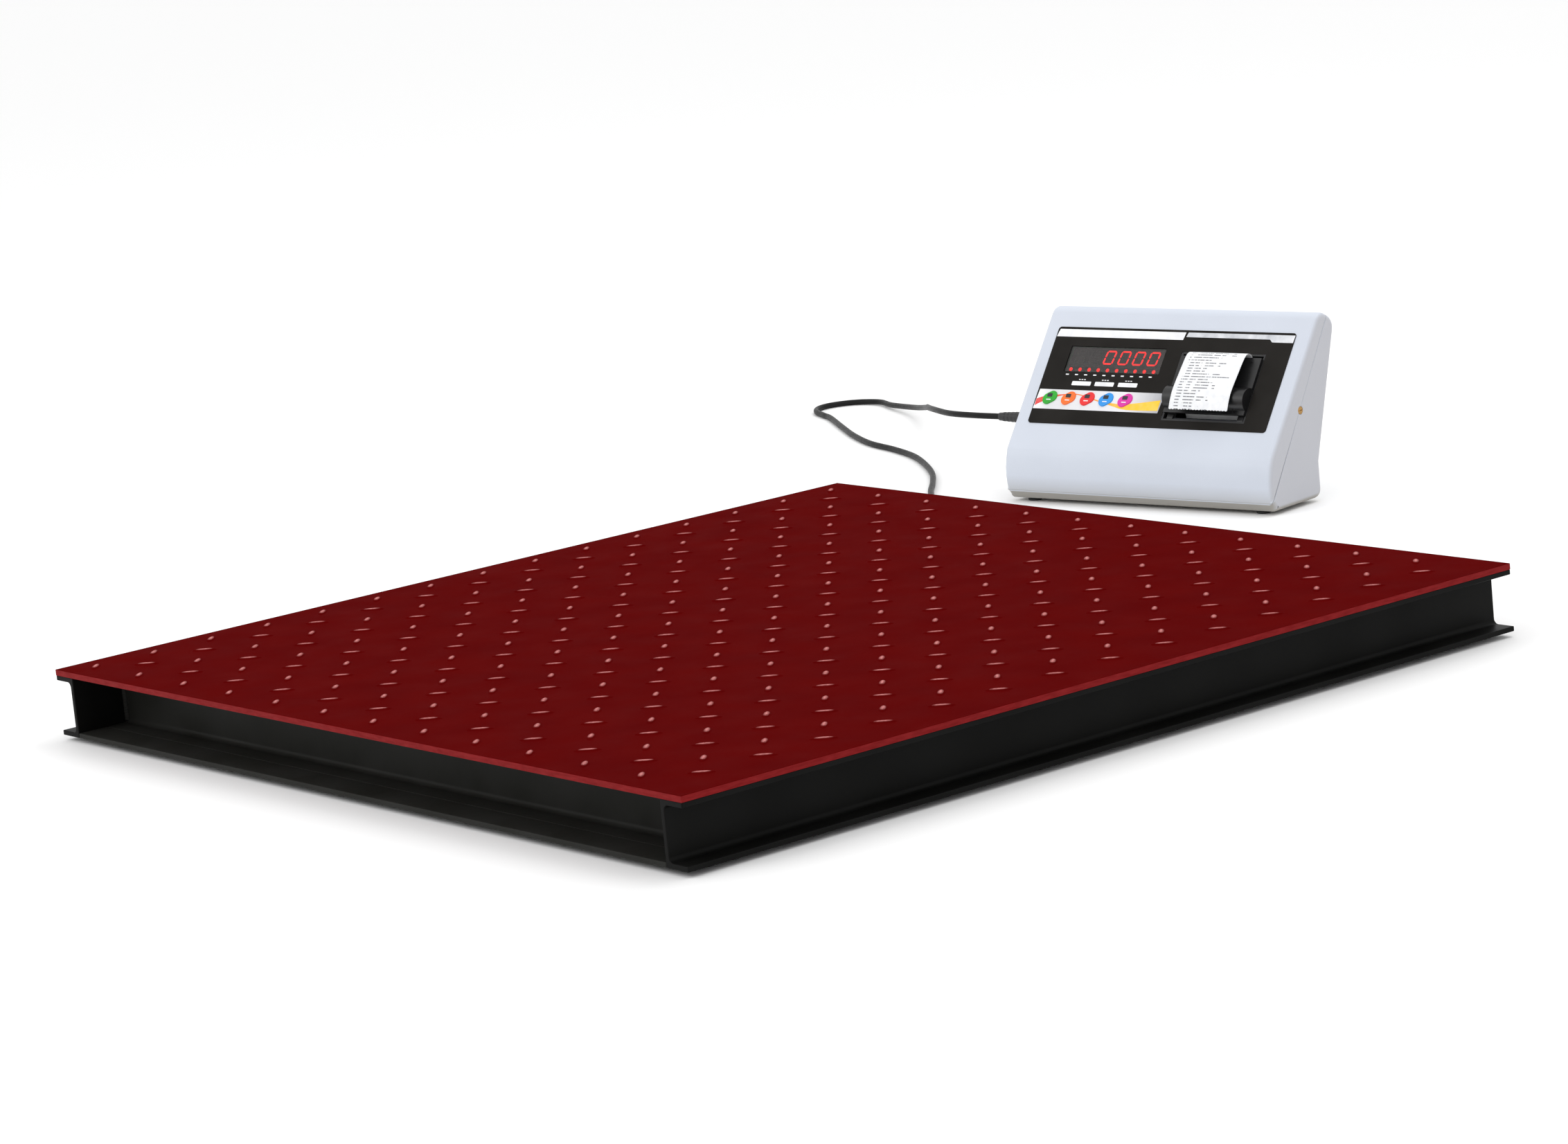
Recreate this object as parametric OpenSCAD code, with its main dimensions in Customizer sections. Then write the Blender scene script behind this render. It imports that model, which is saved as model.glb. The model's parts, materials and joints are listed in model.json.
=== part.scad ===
// Pallet scale: a low square weighing platform on four load cells, joined by a
// cable to a wedge-shaped desk terminal with display, keys and receipt printer.
// Millimetres, +Z up. The origin is under the middle of platform and terminal
// together, on the floor.

/* [Platform] */
// Length of each side of the square deck
deck_w = 1000; // [960:10:1100]
// Thickness of the deck plate without its lugs
deck_t = 6; // [4:0.5:8]
// Height of the edge channels
frame_h = 60; // [58:1:70]
// Width of the channels' flanges
flange_w = 30; // [26:1:34]
// Thickness of the channels' webs and flanges
channel_t = 5; // [4:0.5:6]
// How far the end channels stand back from the deck's edge
end_setback = 57; // [50:1:60]
// Gap between the frame and the floor
ground_gap = 5; // [4:0.5:8]

/* [Tread pattern] */
// Height of a lug above the plate
lug_h = 1.5; // [1:0.1:2]
// Length of a lug
lug_len = 26; // [20:1:30]
// Width of a lug at its middle
lug_w = 9; // [7:0.5:12]
// Distance between lugs along X
lug_pitch_x = 80; // [76:1:90]
// Distance between lugs along Y
lug_pitch_y = 67; // [60:1:70]

/* [Load cells and feet] */
// Side of the square load cell bar
cell_side = 31.8; // [30:0.2:32]
// Length of a load cell
cell_len = 130; // [125:1:132]
// Distance of a load cell's centre line from the platform's centre line
cell_x = 430; // [415:1:432]
// Radius of the levelling foot's threaded stem
stem_r = 6; // [5.5:0.1:6]
// Radius of the levelling foot's pad
pad_r = 21; // [16:1:22]

/* [Terminal] */
// Width of the terminal's case
case_w = 370; // [366:1:380]
// Wall thickness of the case
case_wall = 3; // [2.5:0.5:3.5]
// Angle between the front face and the vertical
face_recline = 37; // [36:0.5:38]
// Width of the black front panel
panel_w = 330; // [328:1:334]
// Height of the black front panel
panel_h = 122; // [120:1:124]
// How far the terminal is turned about the vertical
terminal_yaw = 10; // [0:1:12]

/* [Printer] */
// Width of the receipt paper
paper_w = 80; // [57:1:80]
// Radius of the paper roll
paper_roll_r = 24; // [12:1:24]
// Radius of the platen roller
platen_r = 6; // [5.5:0.1:6]
// Teeth on the platen's gear
platen_teeth = 20; // [20:2:20]
// Teeth on the feed motor's pinion
pinion_teeth = 10; // [10:2:10]

/* [Cable] */
// Diameter of the cable between terminal and platform
cable_d = 7; // [5:0.5:7]

/* [Hidden] */
$fn = 48;
eps = 0.01;
run_gap = 0.05;           // radial clearance of a running fit

// Platform heights and edges
deck_z = ground_gap + frame_h;
half_w = deck_w / 2;
side_web_in = half_w - flange_w;             // inner face of a side channel's web
end_web_out = half_w - end_setback;          // outer face of an end channel's web
end_web_in = end_web_out - channel_t;
tie_bar_t = 5;
rib_w = 40;
rib_h = 25;
rib_t = 3;
rib_x = [-250, 0, 250];

// Load cells: bar, block above it, foot below it
cell_top = deck_z - 7.2;
cell_z = cell_top - cell_side;
cell_out = 420;                              // outer end of a cell, from the centre
cell_in = cell_out - cell_len;
foot_y = 405;
bolt_y = [305, 331];
bolt_r = 5.9;
nut_h = 6;
hex_z = 9.2;
hex_h = 4;
stem_top = deck_z - 8;
corner_signs = [[-1, -1], [1, -1], [-1, 1], [1, 1]];

// Junction box under the deck
box_x = -130;
box_y = 345;
box_size = [140, 90, 32];
box_gland_z = 41;
box_gland_y = [325, 365];
trunk_z = 40;
box_screw = [64, 39];                        // lid screws, from the box's middle

// Terminal: the corner it turns about, relative to the platform's centre
terminal_x = -517;
terminal_y = 762;
foot_h = 4;                                  // height of the terminal's rubber feet
face_start = [0, 62];                        // lower end of the flat face, as [y, z]
face_len = 172;
top_r = 14;
floor_z = foot_h + case_wall;                // inner floor of the case
rear_y = 90;                                 // vertical lower part of the back
back_knee = 44;                              // height where the back starts to lean
tub_top = [120, 187];                        // middle of the back's round top, as [y, z]
tub_top_r = 15;
seam_low = [-4, 13];
seam_high = [123.3, 202];
face_dir = [sin(face_recline), cos(face_recline)];
face_out = [-cos(face_recline), sin(face_recline)];
panel_v = 32;
panel_t = 0.8;

// Printer, in face coordinates: x across, v up the face, n out of it
bay_x = [204, 318];
bay_v = [42, 127];
bay_deep = 62;
bay_shallow = 40;
bay_step_v = 98;
door_x = [206, 316];
hinge_v = 47;
hinge_n = -5;
hinge_r = 1.3;
knuckle_r = 2.6;
bulge_v = 70;
bulge_r = 14;
platen_v = 116;
platen_n = -7;
platen_shaft_r = 2.5;
gear_module = 0.8;
gear_t = 4;
platen_gear_r = gear_module * platen_teeth / 2;
pinion_r = gear_module * pinion_teeth / 2;
pinion_n = platen_n - platen_gear_r - pinion_r;
head_n = platen_n - platen_r - 0.4;
head_t = 4;
roll_v = 76;
roll_n = -34;
spindle_r = 6;
paper_mid = (bay_x[0] + bay_x[1]) / 2;

// Keys, lamps and digits, in face coordinates
key_x = [40.7, 67.2, 93.9, 120.4, 147.3];
key_v = 64;
key_len = 20;
key_w = 14;
key_tilt = 30;
key_proud = 2.2;
key_depth = 5;
window_x = [44, 184];
window_v = [96, 132];
lamp_x0 = 54;
lamp_step = 13;
lamp_v = 102;
digit_w = 14;
digit_h = 17.4;
digit_pitch = 20.5;
digit_x0 = 55;
digit_v = 109;
digit_slant = 8;
seg_w = 2.2;

// Back panel parts, in terminal coordinates
inlet_x = 315;
inlet_z = 25;
switch_x = 268;
switch_z = 25;
gland_at = [62, 84];                         // on the left side, as [y, z]
screw_at = [60, 106];                        // on both sides, as [y, z]
gland_r = 8;
boot_len = 36;

// Where the platform's centre lies, so that the whole object is centred
term_reach = tub_top[0] + tub_top_r;
min_x = terminal_x - term_reach * sin(terminal_yaw);
max_y = terminal_y + case_w * sin(terminal_yaw) + term_reach * cos(terminal_yaw);
platform_at = [-(half_w + min_x) / 2, (half_w - max_y) / 2, 0];

// Cable from the terminal's gland to the platform's gland, from the platform's
// centre. It falls to the floor, makes one loop and comes in at the back.
cable_floor = 3.6;
cable_route = [
    [-581, 814, 84], [-620, 807, 84], [-665, 809, 83], [-725, 836, 79], [-800, 890, 67],
    [-890, 965, 48], [-985, 1040, 28], [-1070, 1094, 13], [-1150, 1124, 5.5],
    [-1188, 1138, 4.4], [-1216, 1134, 3.8], [-1235, 1119, cable_floor],
    [-1244, 1096, cable_floor], [-1239, 1074, cable_floor], [-1221, 1057, cable_floor],
    [-1190, 1044, cable_floor], [-1165, 1034, cable_floor],
    [-1095, 995, cable_floor], [-1030, 960, cable_floor], [-965, 932, cable_floor],
    [-900, 916, cable_floor], [-840, 895, cable_floor], [-780, 862, cable_floor],
    [-725, 825, cable_floor], [-677, 784, cable_floor], [-635, 745, cable_floor],
    [-575, 700, cable_floor], [-490, 660, cable_floor], [-390, 635, cable_floor],
    [-290, 622, cable_floor], [-205, 608, 5], [-150, 575, 12], [-132, 530, 26],
    [-130, 495, 37], [-130, 461, 40]];

// Leads inside the platform, one from each load cell and the trunk
lead_d = 5;
lead_z = 33;
lead_front_left = [[-430, -290, 42], [-430, -270, 42], [-400, -240, 34], [-330, -60, lead_z],
    [-300, 160, lead_z], [-284, 290, lead_z], [-255, 322, 35], [-228, 325, 38],
    [-214, 325, box_gland_z]];
lead_rear_left = [[-430, 290, 42], [-430, 272, 42], [-410, 258, 36], [-340, 300, lead_z],
    [-290, 355, lead_z], [-255, 365, 35], [-228, 365, 38], [-214, 365, box_gland_z]];
lead_front_right = [[430, -290, 42], [430, -270, 42], [400, -240, 34], [300, -60, lead_z],
    [140, 160, lead_z], [40, 300, lead_z], [-8, 324, 35], [-32, 325, 38],
    [-46, 325, box_gland_z]];
lead_rear_right = [[430, 290, 42], [430, 272, 42], [405, 258, 36], [240, 300, lead_z],
    [60, 360, lead_z], [-8, 365, 35], [-32, 365, 38], [-46, 365, box_gland_z]];
trunk_lead = [[-130, 434, 40], [-130, 419, 40.5], [-130, 404, 41]];

frame_black = [0.10, 0.10, 0.10];
deck_red = [0.36, 0.02, 0.02];
bright_steel = [0.72, 0.73, 0.74];
case_grey = [0.84, 0.86, 0.90];
part_black = [0.08, 0.08, 0.08];

// ---------- helpers ----------

// Place children drawn from the platform's centre
module on_platform() translate(platform_at) children();

// Place children drawn in the terminal's own frame: x width, y depth, z up
module on_terminal()
    translate(platform_at + [terminal_x, terminal_y, 0])
        rotate([0, 0, terminal_yaw])
            children();

// Place children drawn on the sloping face: x across, y up the face, z out of it
module on_face()
    on_terminal()
        translate([0, face_start[0], face_start[1]])
            rotate([90 - face_recline, 0, 0])
                children();

// Extrude a [y, z] outline along the terminal's width
module along_x(x0, x1)
    translate([x0, 0, 0])
        rotate([90, 0, 90])
            linear_extrude(x1 - x0) children();

// A cylinder along X, with its centre line at [y, z]
module rod_x(x0, x1, at, r)
    translate([x0, at[0], at[1]])
        rotate([0, 90, 0])
            cylinder(r = r, h = x1 - x0);

// A box given by its low and high corners
module block(low, high) translate(low) cube(high - low);

// A rectangle with round corners, centred
module round_rect(w, h, r) {
    square([w - 2 * r, h], center = true);
    square([w, h - 2 * r], center = true);
    for (x = [-1, 1], y = [-1, 1])
        translate([x * (w / 2 - r), y * (h / 2 - r)])
            circle(r);
}

// Points on an arc about c, from angle a0 to a1
function arc(c, r, a0, a1, n = 6) =
    [for (i = [0:n]) c + r * [cos(a0 + (a1 - a0) * i / n), sin(a0 + (a1 - a0) * i / n)]];

// A point on the terminal's face plane, v up the face and n out of it, as [y, z]
function face_at(v, n) = face_start + v * face_dir + n * face_out;

function unit(v) = v / norm(v);
// Direction of a route at point i
function heading(p, i) =
    unit(p[min(i + 1, len(p) - 1)] - p[max(i - 1, 0)]);
// A point on the smooth curve through p, between points i and i + 1
function curve_at(p, i, t) =
    let (a = p[max(i - 1, 0)], b = p[i], c = p[i + 1], d = p[min(i + 2, len(p) - 1)])
    0.5 * (2 * b + (c - a) * t + (2 * a - 5 * b + 4 * c - d) * t * t
        + (3 * b - a - 3 * c + d) * t * t * t);
function smooth(p, steps) = concat(
    [for (i = [0:len(p) - 2], k = [0:steps - 1]) curve_at(p, i, k / steps)],
    [p[len(p) - 1]]);

// A tube of diameter d along the smooth curve through a route
module tube(route, d, steps = 2, sides = 8) {
    path = smooth(route, steps);
    rings = len(path);
    points = [for (i = [0:rings - 1])
        let (f = heading(path, i), s = unit(cross(f, [0, 0, 1])), u = cross(s, f))
        for (k = [0:sides - 1])
            let (a = 360 * (k + 0.5) / sides)
            path[i] + d / 2 * (cos(a) * s + sin(a) * u)];
    walls = [for (i = [0:rings - 2], k = [0:sides - 1])
        let (a = i * sides, n = (k + 1) % sides)
        [a + k, a + sides + k, a + sides + n, a + n]];
    first = [for (k = [0:sides - 1]) k];
    last = [for (k = [sides - 1:-1:0]) (rings - 1) * sides + k];
    polyhedron(points, concat(walls, [first, last]));
}

// ---------- platform: deck and frame ----------

// One lug of the tread plate: the lens where two discs cross
module lug() {
    bow_r = (lug_len * lug_len / 4 + lug_w * lug_w / 4) / lug_w;
    linear_extrude(lug_h + 1)
        intersection() {
            translate([0, bow_r - lug_w / 2]) circle(bow_r, $fn = 96);
            translate([0, -bow_r + lug_w / 2]) circle(bow_r, $fn = 96);
        }
}

// Red chequer plate: lugs lie across each other on two interleaved grids
module deck_plate() color(deck_red) on_platform() {
    reach_x = half_w - 30;
    reach_y = half_w - 28;
    translate([0, 0, deck_z + deck_t / 2])
        cube([deck_w, deck_w, deck_t], center = true);
    for (x = [-reach_x:lug_pitch_x:half_w - lug_len / 2])
        for (y = [-reach_y:lug_pitch_y:reach_y])
            translate([x, y, deck_z + deck_t - 1]) rotate(135) lug();
    for (x = [-reach_x + lug_pitch_x / 2:lug_pitch_x:half_w - lug_len / 2])
        for (y = [-reach_y + lug_pitch_y / 2:lug_pitch_y:reach_y])
            translate([x, y, deck_z + deck_t - 1]) rotate(45) lug();
}

// Section of an edge channel: web at x = 0, flanges towards +x, with round inner corners
module channel_section() {
    fillet = 5;
    gap = frame_h - 2 * channel_t;
    difference() {
        square([flange_w, frame_h]);
        translate([channel_t + fillet, channel_t]) square([flange_w, gap]);
        translate([channel_t, channel_t + fillet]) square([flange_w, gap - 2 * fillet]);
        for (z = [channel_t + fillet, frame_h - channel_t - fillet])
            translate([channel_t + fillet, z]) circle(fillet);
    }
}

// side is -1 for the left channel and 1 for the right one
module side_channel(side) color(frame_black) on_platform()
    mirror([side < 0 ? 1 : 0, 0, 0])
        translate([side_web_in, half_w, ground_gap])
            rotate([90, 0, 0])
                linear_extrude(deck_w) channel_section();

// end is -1 for the front channel and 1 for the rear one
module end_channel(end) color(frame_black) on_platform()
    difference() {
        mirror([0, end < 0 ? 1 : 0, 0])
            translate([-side_web_in, end_web_in, ground_gap])
                rotate([90, 0, 90])
                    linear_extrude(2 * side_web_in) channel_section();
        if (end > 0)
            translate([box_x, end_web_in - 1, trunk_z])
                rotate([-90, 0, 0]) cylinder(r = gland_r, h = channel_t + 2);
    }

// Flat bars that close the bottom of the open front and rear edges
module tie_bars() color(frame_black) on_platform()
    for (end = [0, 1])
        mirror([0, end, 0])
            block([-side_web_in, end_web_in + flange_w, ground_gap],
                [side_web_in, half_w, ground_gap + tie_bar_t]);

// Rectangular tubes that stiffen the deck between the end channels
module deck_ribs() color(frame_black) on_platform()
    for (x = rib_x)
        difference() {
            block([x - rib_w / 2, -end_web_in, deck_z - rib_h], [x + rib_w / 2, end_web_in, deck_z]);
            block([x - rib_w / 2 + rib_t, -end_web_in - 1, deck_z - rib_h + rib_t],
                [x + rib_w / 2 - rib_t, end_web_in + 1, deck_z - rib_t]);
        }

// ---------- platform: load cells and feet ----------

// Repeat children for each corner, drawn for the right rear one
module each_corner()
    for (s = corner_signs)
        mirror([s[0] < 0 ? 1 : 0, 0, 0]) mirror([0, s[1] < 0 ? 1 : 0, 0]) children();

// Place children drawn for the right rear corner at one corner
module at_corner(s)
    on_platform()
        mirror([s[0] < 0 ? 1 : 0, 0, 0]) mirror([0, s[1] < 0 ? 1 : 0, 0]) children();

// Threaded steel pads welded under the deck, which the cells bolt to
module cell_blocks() color(frame_black) on_platform() each_corner()
    difference() {
        block([cell_x - 25, cell_in - 5, cell_top], [cell_x + 25, cell_in + 55, deck_z]);
        for (y = bolt_y)
            translate([cell_x, y, cell_top - 1]) cylinder(r = stem_r, h = deck_z - cell_top);
    }

// Shear beam load cell with a sealed pocket on both sides
module load_cell(s) color(bright_steel) at_corner(s)
    difference() {
        block([cell_x - cell_side / 2, cell_in, cell_z], [cell_x + cell_side / 2, cell_out, cell_top]);
        for (y = bolt_y)
            translate([cell_x, y, cell_z - 1]) cylinder(r = stem_r + 0.5, h = cell_side + 2);
        translate([cell_x, foot_y, cell_z - 1])
            cylinder(r = stem_r + run_gap, h = cell_side + 2);
        for (side = [-1, 1])
            rod_x(cell_x + side * (cell_side / 2 - 3) - 4, cell_x + side * (cell_side / 2 - 3) + 4,
                [368, (cell_z + cell_top) / 2], 10);
    }

// Hexagon bolts that hold the cells up against their blocks
module load_cell_bolts() color("silver") on_platform() each_corner()
    for (y = bolt_y) translate([cell_x, y, 0]) {
        translate([0, 0, cell_z]) cylinder(r = bolt_r, h = deck_z - cell_z - 2);
        translate([0, 0, cell_z - 7.5]) cylinder(r = 10, h = 7.5, $fn = 6);
    }

// Thin nuts that lock the feet against the cells
module foot_locknuts() color("silver") on_platform() each_corner()
    translate([cell_x, foot_y, cell_z - nut_h])
        difference() {
            cylinder(r = 10, h = nut_h, $fn = 6);
            translate([0, 0, -1]) cylinder(r = stem_r + run_gap, h = nut_h + 2);
        }

// Threaded stem of a levelling foot: neck in the pad, spanner hexagon, thread
module foot_stem(s) color("silver") at_corner(s)
    translate([cell_x, foot_y, 0]) {
        translate([0, 0, 2.6]) cylinder(r = 5, h = hex_z);
        translate([0, 0, hex_z]) cylinder(r = 8, h = hex_h, $fn = 6);
        translate([0, 0, hex_z + hex_h - 0.5]) cylinder(r = stem_r, h = stem_top - hex_z - hex_h + 0.5);
    }

// Round pad of a levelling foot, with the socket that the stem turns in
module foot_pad(s) color(part_black) at_corner(s)
    translate([cell_x, foot_y, 0])
        difference() {
            union() {
                cylinder(r = pad_r, h = 4);
                cylinder(r = 11, h = hex_z - 0.2);
            }
            translate([0, 0, 2.5]) cylinder(r = 5 + run_gap, h = hex_z);
        }

// ---------- platform: junction box and wiring ----------

// Repeat children at the junction box's four lid screws
module each_box_screw()
    for (x = [-1, 1], y = [-1, 1])
        translate([x * box_screw[0], y * box_screw[1], 0]) children();

module junction_box() color([0.35, 0.36, 0.38]) on_platform()
    translate([box_x, box_y, deck_z - box_size[2]]) {
        each_box_screw()
            difference() {
                cylinder(r = 4.5, h = box_size[2] - 2);
                translate([0, 0, -1]) cylinder(r = 2, h = 12);
            }
        difference() {
            block([-box_size[0] / 2, -box_size[1] / 2, 0], [box_size[0] / 2, box_size[1] / 2, box_size[2]]);
            block([-box_size[0] / 2 + 3, -box_size[1] / 2 + 3, -1],
                [box_size[0] / 2 - 3, box_size[1] / 2 - 3, box_size[2] - 3]);
            for (x = [-1, 1], y = box_gland_y)
                rod_x(x * box_size[0] / 2 - 5, x * box_size[0] / 2 + 5,
                    [y - box_y, box_gland_z - deck_z + box_size[2]], 6);
            translate([0, box_size[1] / 2 - 5, box_gland_z - deck_z + box_size[2]])
                rotate([-90, 0, 0]) cylinder(r = 6, h = 10);
        }
    }

module junction_box_lid() color([0.35, 0.36, 0.38]) on_platform()
    translate([box_x, box_y, deck_z - box_size[2] - 3])
        difference() {
            translate([0, 0, 1.5]) cube([box_size[0], box_size[1], 3], center = true);
            each_box_screw() translate([0, 0, -1]) cylinder(r = 2.1, h = 5);
        }

module junction_box_screws() color("silver") on_platform()
    translate([box_x, box_y, deck_z - box_size[2] - 3])
        each_box_screw() {
            translate([0, 0, -2]) cylinder(r = 3.6, h = 2);
            cylinder(r = 2, h = 12);
        }

// Summing board with its terminal strips
module junction_board() color([0.05, 0.35, 0.15]) on_platform()
    translate([box_x, box_y, deck_z - box_size[2] + 14]) {
        translate([0, 0, 0.8]) cube([116, 62, 1.6], center = true);
        for (y = [-20, 20])
            translate([0, y, -4]) cube([100, 10, 8], center = true);
        for (x = [-44, 44], y = [-26, 26])
            translate([x, y, 1.6]) cylinder(r = 3, h = box_size[2] - 18.6);
    }

// A cable gland along X from its mouth inward: dome, hexagon, thread and inner nut
module gland_body(r, bore_r, wall) difference() {
    union() {
        cylinder(r = r, h = 20 + wall);
        translate([0, 0, 10]) cylinder(r = r * 1.25, h = 8 - eps, $fn = 6);
        translate([0, 0, 4]) cylinder(r = r * 1.1, h = 7);
        translate([0, 0, 18 + wall]) cylinder(r = r * 1.25, h = 4, $fn = 6);
    }
    translate([0, 0, -1]) cylinder(r = bore_r, h = 40);
}

module junction_glands() color(part_black) on_platform() {
    for (side = [-1, 1], y = box_gland_y)
        translate([box_x + side * (box_size[0] / 2 + 14), y, box_gland_z])
            rotate([0, -side * 90, 0]) small_gland(lead_d / 2);
    translate([box_x, box_y + box_size[1] / 2 + 14, box_gland_z])
        rotate([90, 0, 0]) small_gland(cable_d / 2);
}

// Gland in the junction box: nut, collar and a thread that fills the wall's hole
module small_gland(bore_r) difference() {
    union() {
        cylinder(r = 6, h = 17);
        translate([0, 0, 5]) cylinder(r = 8, h = 9, $fn = 6);
    }
    translate([0, 0, -1]) cylinder(r = bore_r, h = 20);
}

module inner_leads() color(part_black) on_platform() {
    for (lead = [lead_front_left, lead_front_right, lead_rear_left, lead_rear_right])
        tube(lead, lead_d, 2, 8);
    tube(trunk_lead, cable_d, 1, 8);
}

// Gland where the cable enters the rear channel; its bore ends at the cable's face
module platform_gland() color(part_black) on_platform()
    translate([box_x, end_web_out + 18, trunk_z])
        rotate([90, 0, 0]) gland_body(gland_r, cable_d / 2 + 0.2, channel_t);

module cable() color(part_black) on_platform() tube(cable_route, cable_d, 2, 10);

// ---------- terminal: case ----------

// Gland on the terminal's left side, with the tapered sleeve that the cable leaves
module terminal_gland() color(part_black) on_terminal()
    translate([-18, gland_at[0], gland_at[1]]) {
        rotate([0, 90, 0]) gland_body(gland_r, cable_d / 2 + 0.2, case_wall);
        rotate([0, -90, 0])
            difference() {
                union() {
                    translate([0, 0, -5]) cylinder(r1 = 7, r2 = 4.6, h = boot_len + 5);
                    for (z = [3:6:boot_len - 4])
                        translate([0, 0, z]) cylinder(r = 6.6 - z * 0.045, h = 3);
                }
                translate([0, 0, -10]) cylinder(r = cable_d / 2 + 0.2, h = boot_len + 20);
            }
    }

// Side outline of the front cover, as [y, z]
cover_outline = concat(
    [seam_low, [-5.6, 20], [-6.5, 30], [-6, 40], [-3.5, 51], face_start],
    arc(face_at(face_len, -top_r), top_r, 180 - face_recline, 52, 8),
    [seam_high]);
cover_hollow = concat(
    [[-1.1, 8], [-2.6, 20], [-3.5, 30], [-3, 40], [-0.6, 50.2], face_at(0, -case_wall)],
    arc(face_at(face_len, -top_r), top_r - case_wall, 180 - face_recline, 52, 8),
    [[140, 200], [140, 8]]);

// Side outline of the rear tub, as [y, z]
tub_outline = concat(
    [seam_low, seam_high],
    arc(tub_top, tub_top_r, 72, -18),
    [[rear_y, back_knee]],
    arc([rear_y - 10, foot_h + 10], 10, 0, -90, 4),
    arc([4, foot_h + 4], 4, -90, -180, 3));
tub_hollow = concat(
    [[-1.1, 11], [-0.9, 17.6], [-3, 20], [115, 205]],
    arc(tub_top, tub_top_r - case_wall, 72, -18),
    [[rear_y - case_wall, back_knee]],
    arc([rear_y - 10, foot_h + 10], 10 - case_wall, 0, -90, 4),
    arc([4, foot_h + 4], 4 - case_wall, -90, -180, 3));

// A key's outline: a slot shape, tilted
module key_shape(grow = 0) rotate(key_tilt) {
    square([key_len - key_w, key_w + 2 * grow], center = true);
    for (x = [-1, 1])
        translate([x * (key_len - key_w) / 2, 0]) circle(key_w / 2 + grow);
}

// The openings for keys and printer, cut through anything on the face
module face_openings() {
    for (x = key_x)
        translate([x, key_v, -10]) linear_extrude(20) key_shape(0.4);
    block([bay_x[0], bay_v[0], -10], [bay_x[1], bay_v[1], 10]);
}

module side_screw_holes(r)
    for (x = [[-1, 1.6], [case_w - 1.6, case_w + 1]])
        rod_x(x[0], x[1], screw_at, r);

module front_cover() color(case_grey) {
    difference() {
        on_terminal()
            difference() {
                union() {
                    difference() {
                        along_x(0, case_w) polygon(cover_outline);
                        along_x(case_wall, case_w - case_wall) polygon(cover_hollow);
                    }
                    // Tabs that the side screws go into
                    for (x = [case_wall + 0.2, case_w - case_wall - 6.2])
                        block([x, screw_at[0] - 8, screw_at[1] - 6], [x + 6, screw_at[0] + 6, screw_at[1] + 22]);
                }
                side_screw_holes(4.6);
                rod_x(-1, case_w + 1, screw_at, 1.9);
            }
        on_face() {
            face_openings();
            block([window_x[0], window_v[0], -10], [window_x[1], window_v[1], 10]);
        }
    }
}

module rear_tub() color(case_grey) on_terminal()
    difference() {
        along_x(0, case_w) polygon(tub_outline);
        along_x(case_wall, case_w - case_wall) polygon(tub_hollow);
        side_screw_holes(4.6);
        rod_x(-1, case_w + 1, screw_at, 2.2);
        rod_x(-1, case_wall + 1, gland_at, gland_r);
        block([inlet_x - 14, rear_y - 6, inlet_z - 10], [inlet_x + 14, rear_y + 1, inlet_z + 10]);
        block([switch_x - 9.5, rear_y - 6, switch_z - 6.5], [switch_x + 9.5, rear_y + 1, switch_z + 6.5]);
    }

module case_screws() color([0.75, 0.6, 0.35]) on_terminal()
    for (side = [-1, 1]) {
        head = side < 0 ? [0.1, 1.6] : [case_w - 1.6, case_w - 0.1];
        shank = side < 0 ? [1.5, 9] : [case_w - 9, case_w - 1.5];
        difference() {
            rod_x(head[0], head[1], screw_at, 4.3);
            block([side < 0 ? -1 : case_w - 0.9, screw_at[0] - 3, screw_at[1] - 0.5],
                [side < 0 ? 0.9 : case_w + 1, screw_at[0] + 3, screw_at[1] + 0.5]);
        }
        rod_x(shank[0], shank[1], screw_at, 1.9);
    }

module case_feet() color(part_black) on_terminal()
    for (x = [26, case_w - 26], y = [14, rear_y - 15])
        translate([x, y, 0]) cylinder(r = 8, h = foot_h);

// ---------- terminal: panel, display and keys ----------

module front_panel() color([0.13, 0.13, 0.12]) on_face()
    difference() {
        translate([case_w / 2, panel_v + panel_h / 2, 0])
            linear_extrude(panel_t) round_rect(panel_w, panel_h, 4);
        face_openings();
        block([window_x[0] + 3, window_v[0] + 2, -1], [window_x[1] - 3, window_v[1] - 2, 2]);
    }

module display_window() color([0.2, 0.05, 0.05, 0.5]) on_face()
    block([window_x[0] + 0.2, window_v[0] + 0.2, -1.8], [window_x[1] - 0.2, window_v[1] - 0.2, 0]);

// Six-digit block behind the window
module display_module() color(part_black) on_face()
    block([digit_x0 - 5, digit_v - 4, -9.5], [digit_x0 + 6 * digit_pitch + 1, digit_v + digit_h + 3, -2.6]);

// One digit's seven bars, on 0 to digit_w by 0 to digit_h, leaning to the right
module digit_bars(which) {
    mid = digit_h / 2;
    lean = tan(digit_slant);
    bar = digit_w - seg_w - 1.2;
    post = mid - seg_w - 0.6;
    for (i = which)
        if (i < 3)
            translate([digit_w / 2 + lean * i * mid, seg_w / 2 + i * (mid - seg_w / 2)])
                square([bar, seg_w], center = true);
        else {
            x = i < 5 ? seg_w / 2 : digit_w - seg_w / 2;
            z = (i % 2 == 1) ? mid / 2 + 0.5 : mid * 3 / 2 - 0.5;
            translate([x + lean * z, z]) rotate(-digit_slant) square([seg_w, post], center = true);
        }
}

module display_segments() color("red") on_face()
    translate([digit_x0, digit_v, -2.6])
        for (i = [0:5])
            translate([i * digit_pitch, 0, 0]) linear_extrude(0.4) {
                digit_bars(i < 2 ? [0, 1, 2, 3, 4, 5, 6] : [0, 2, 3, 4, 5, 6]);
                if (i < 2)
                    translate([digit_w + 2.6, seg_w / 2]) circle(seg_w / 2);
            }

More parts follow.
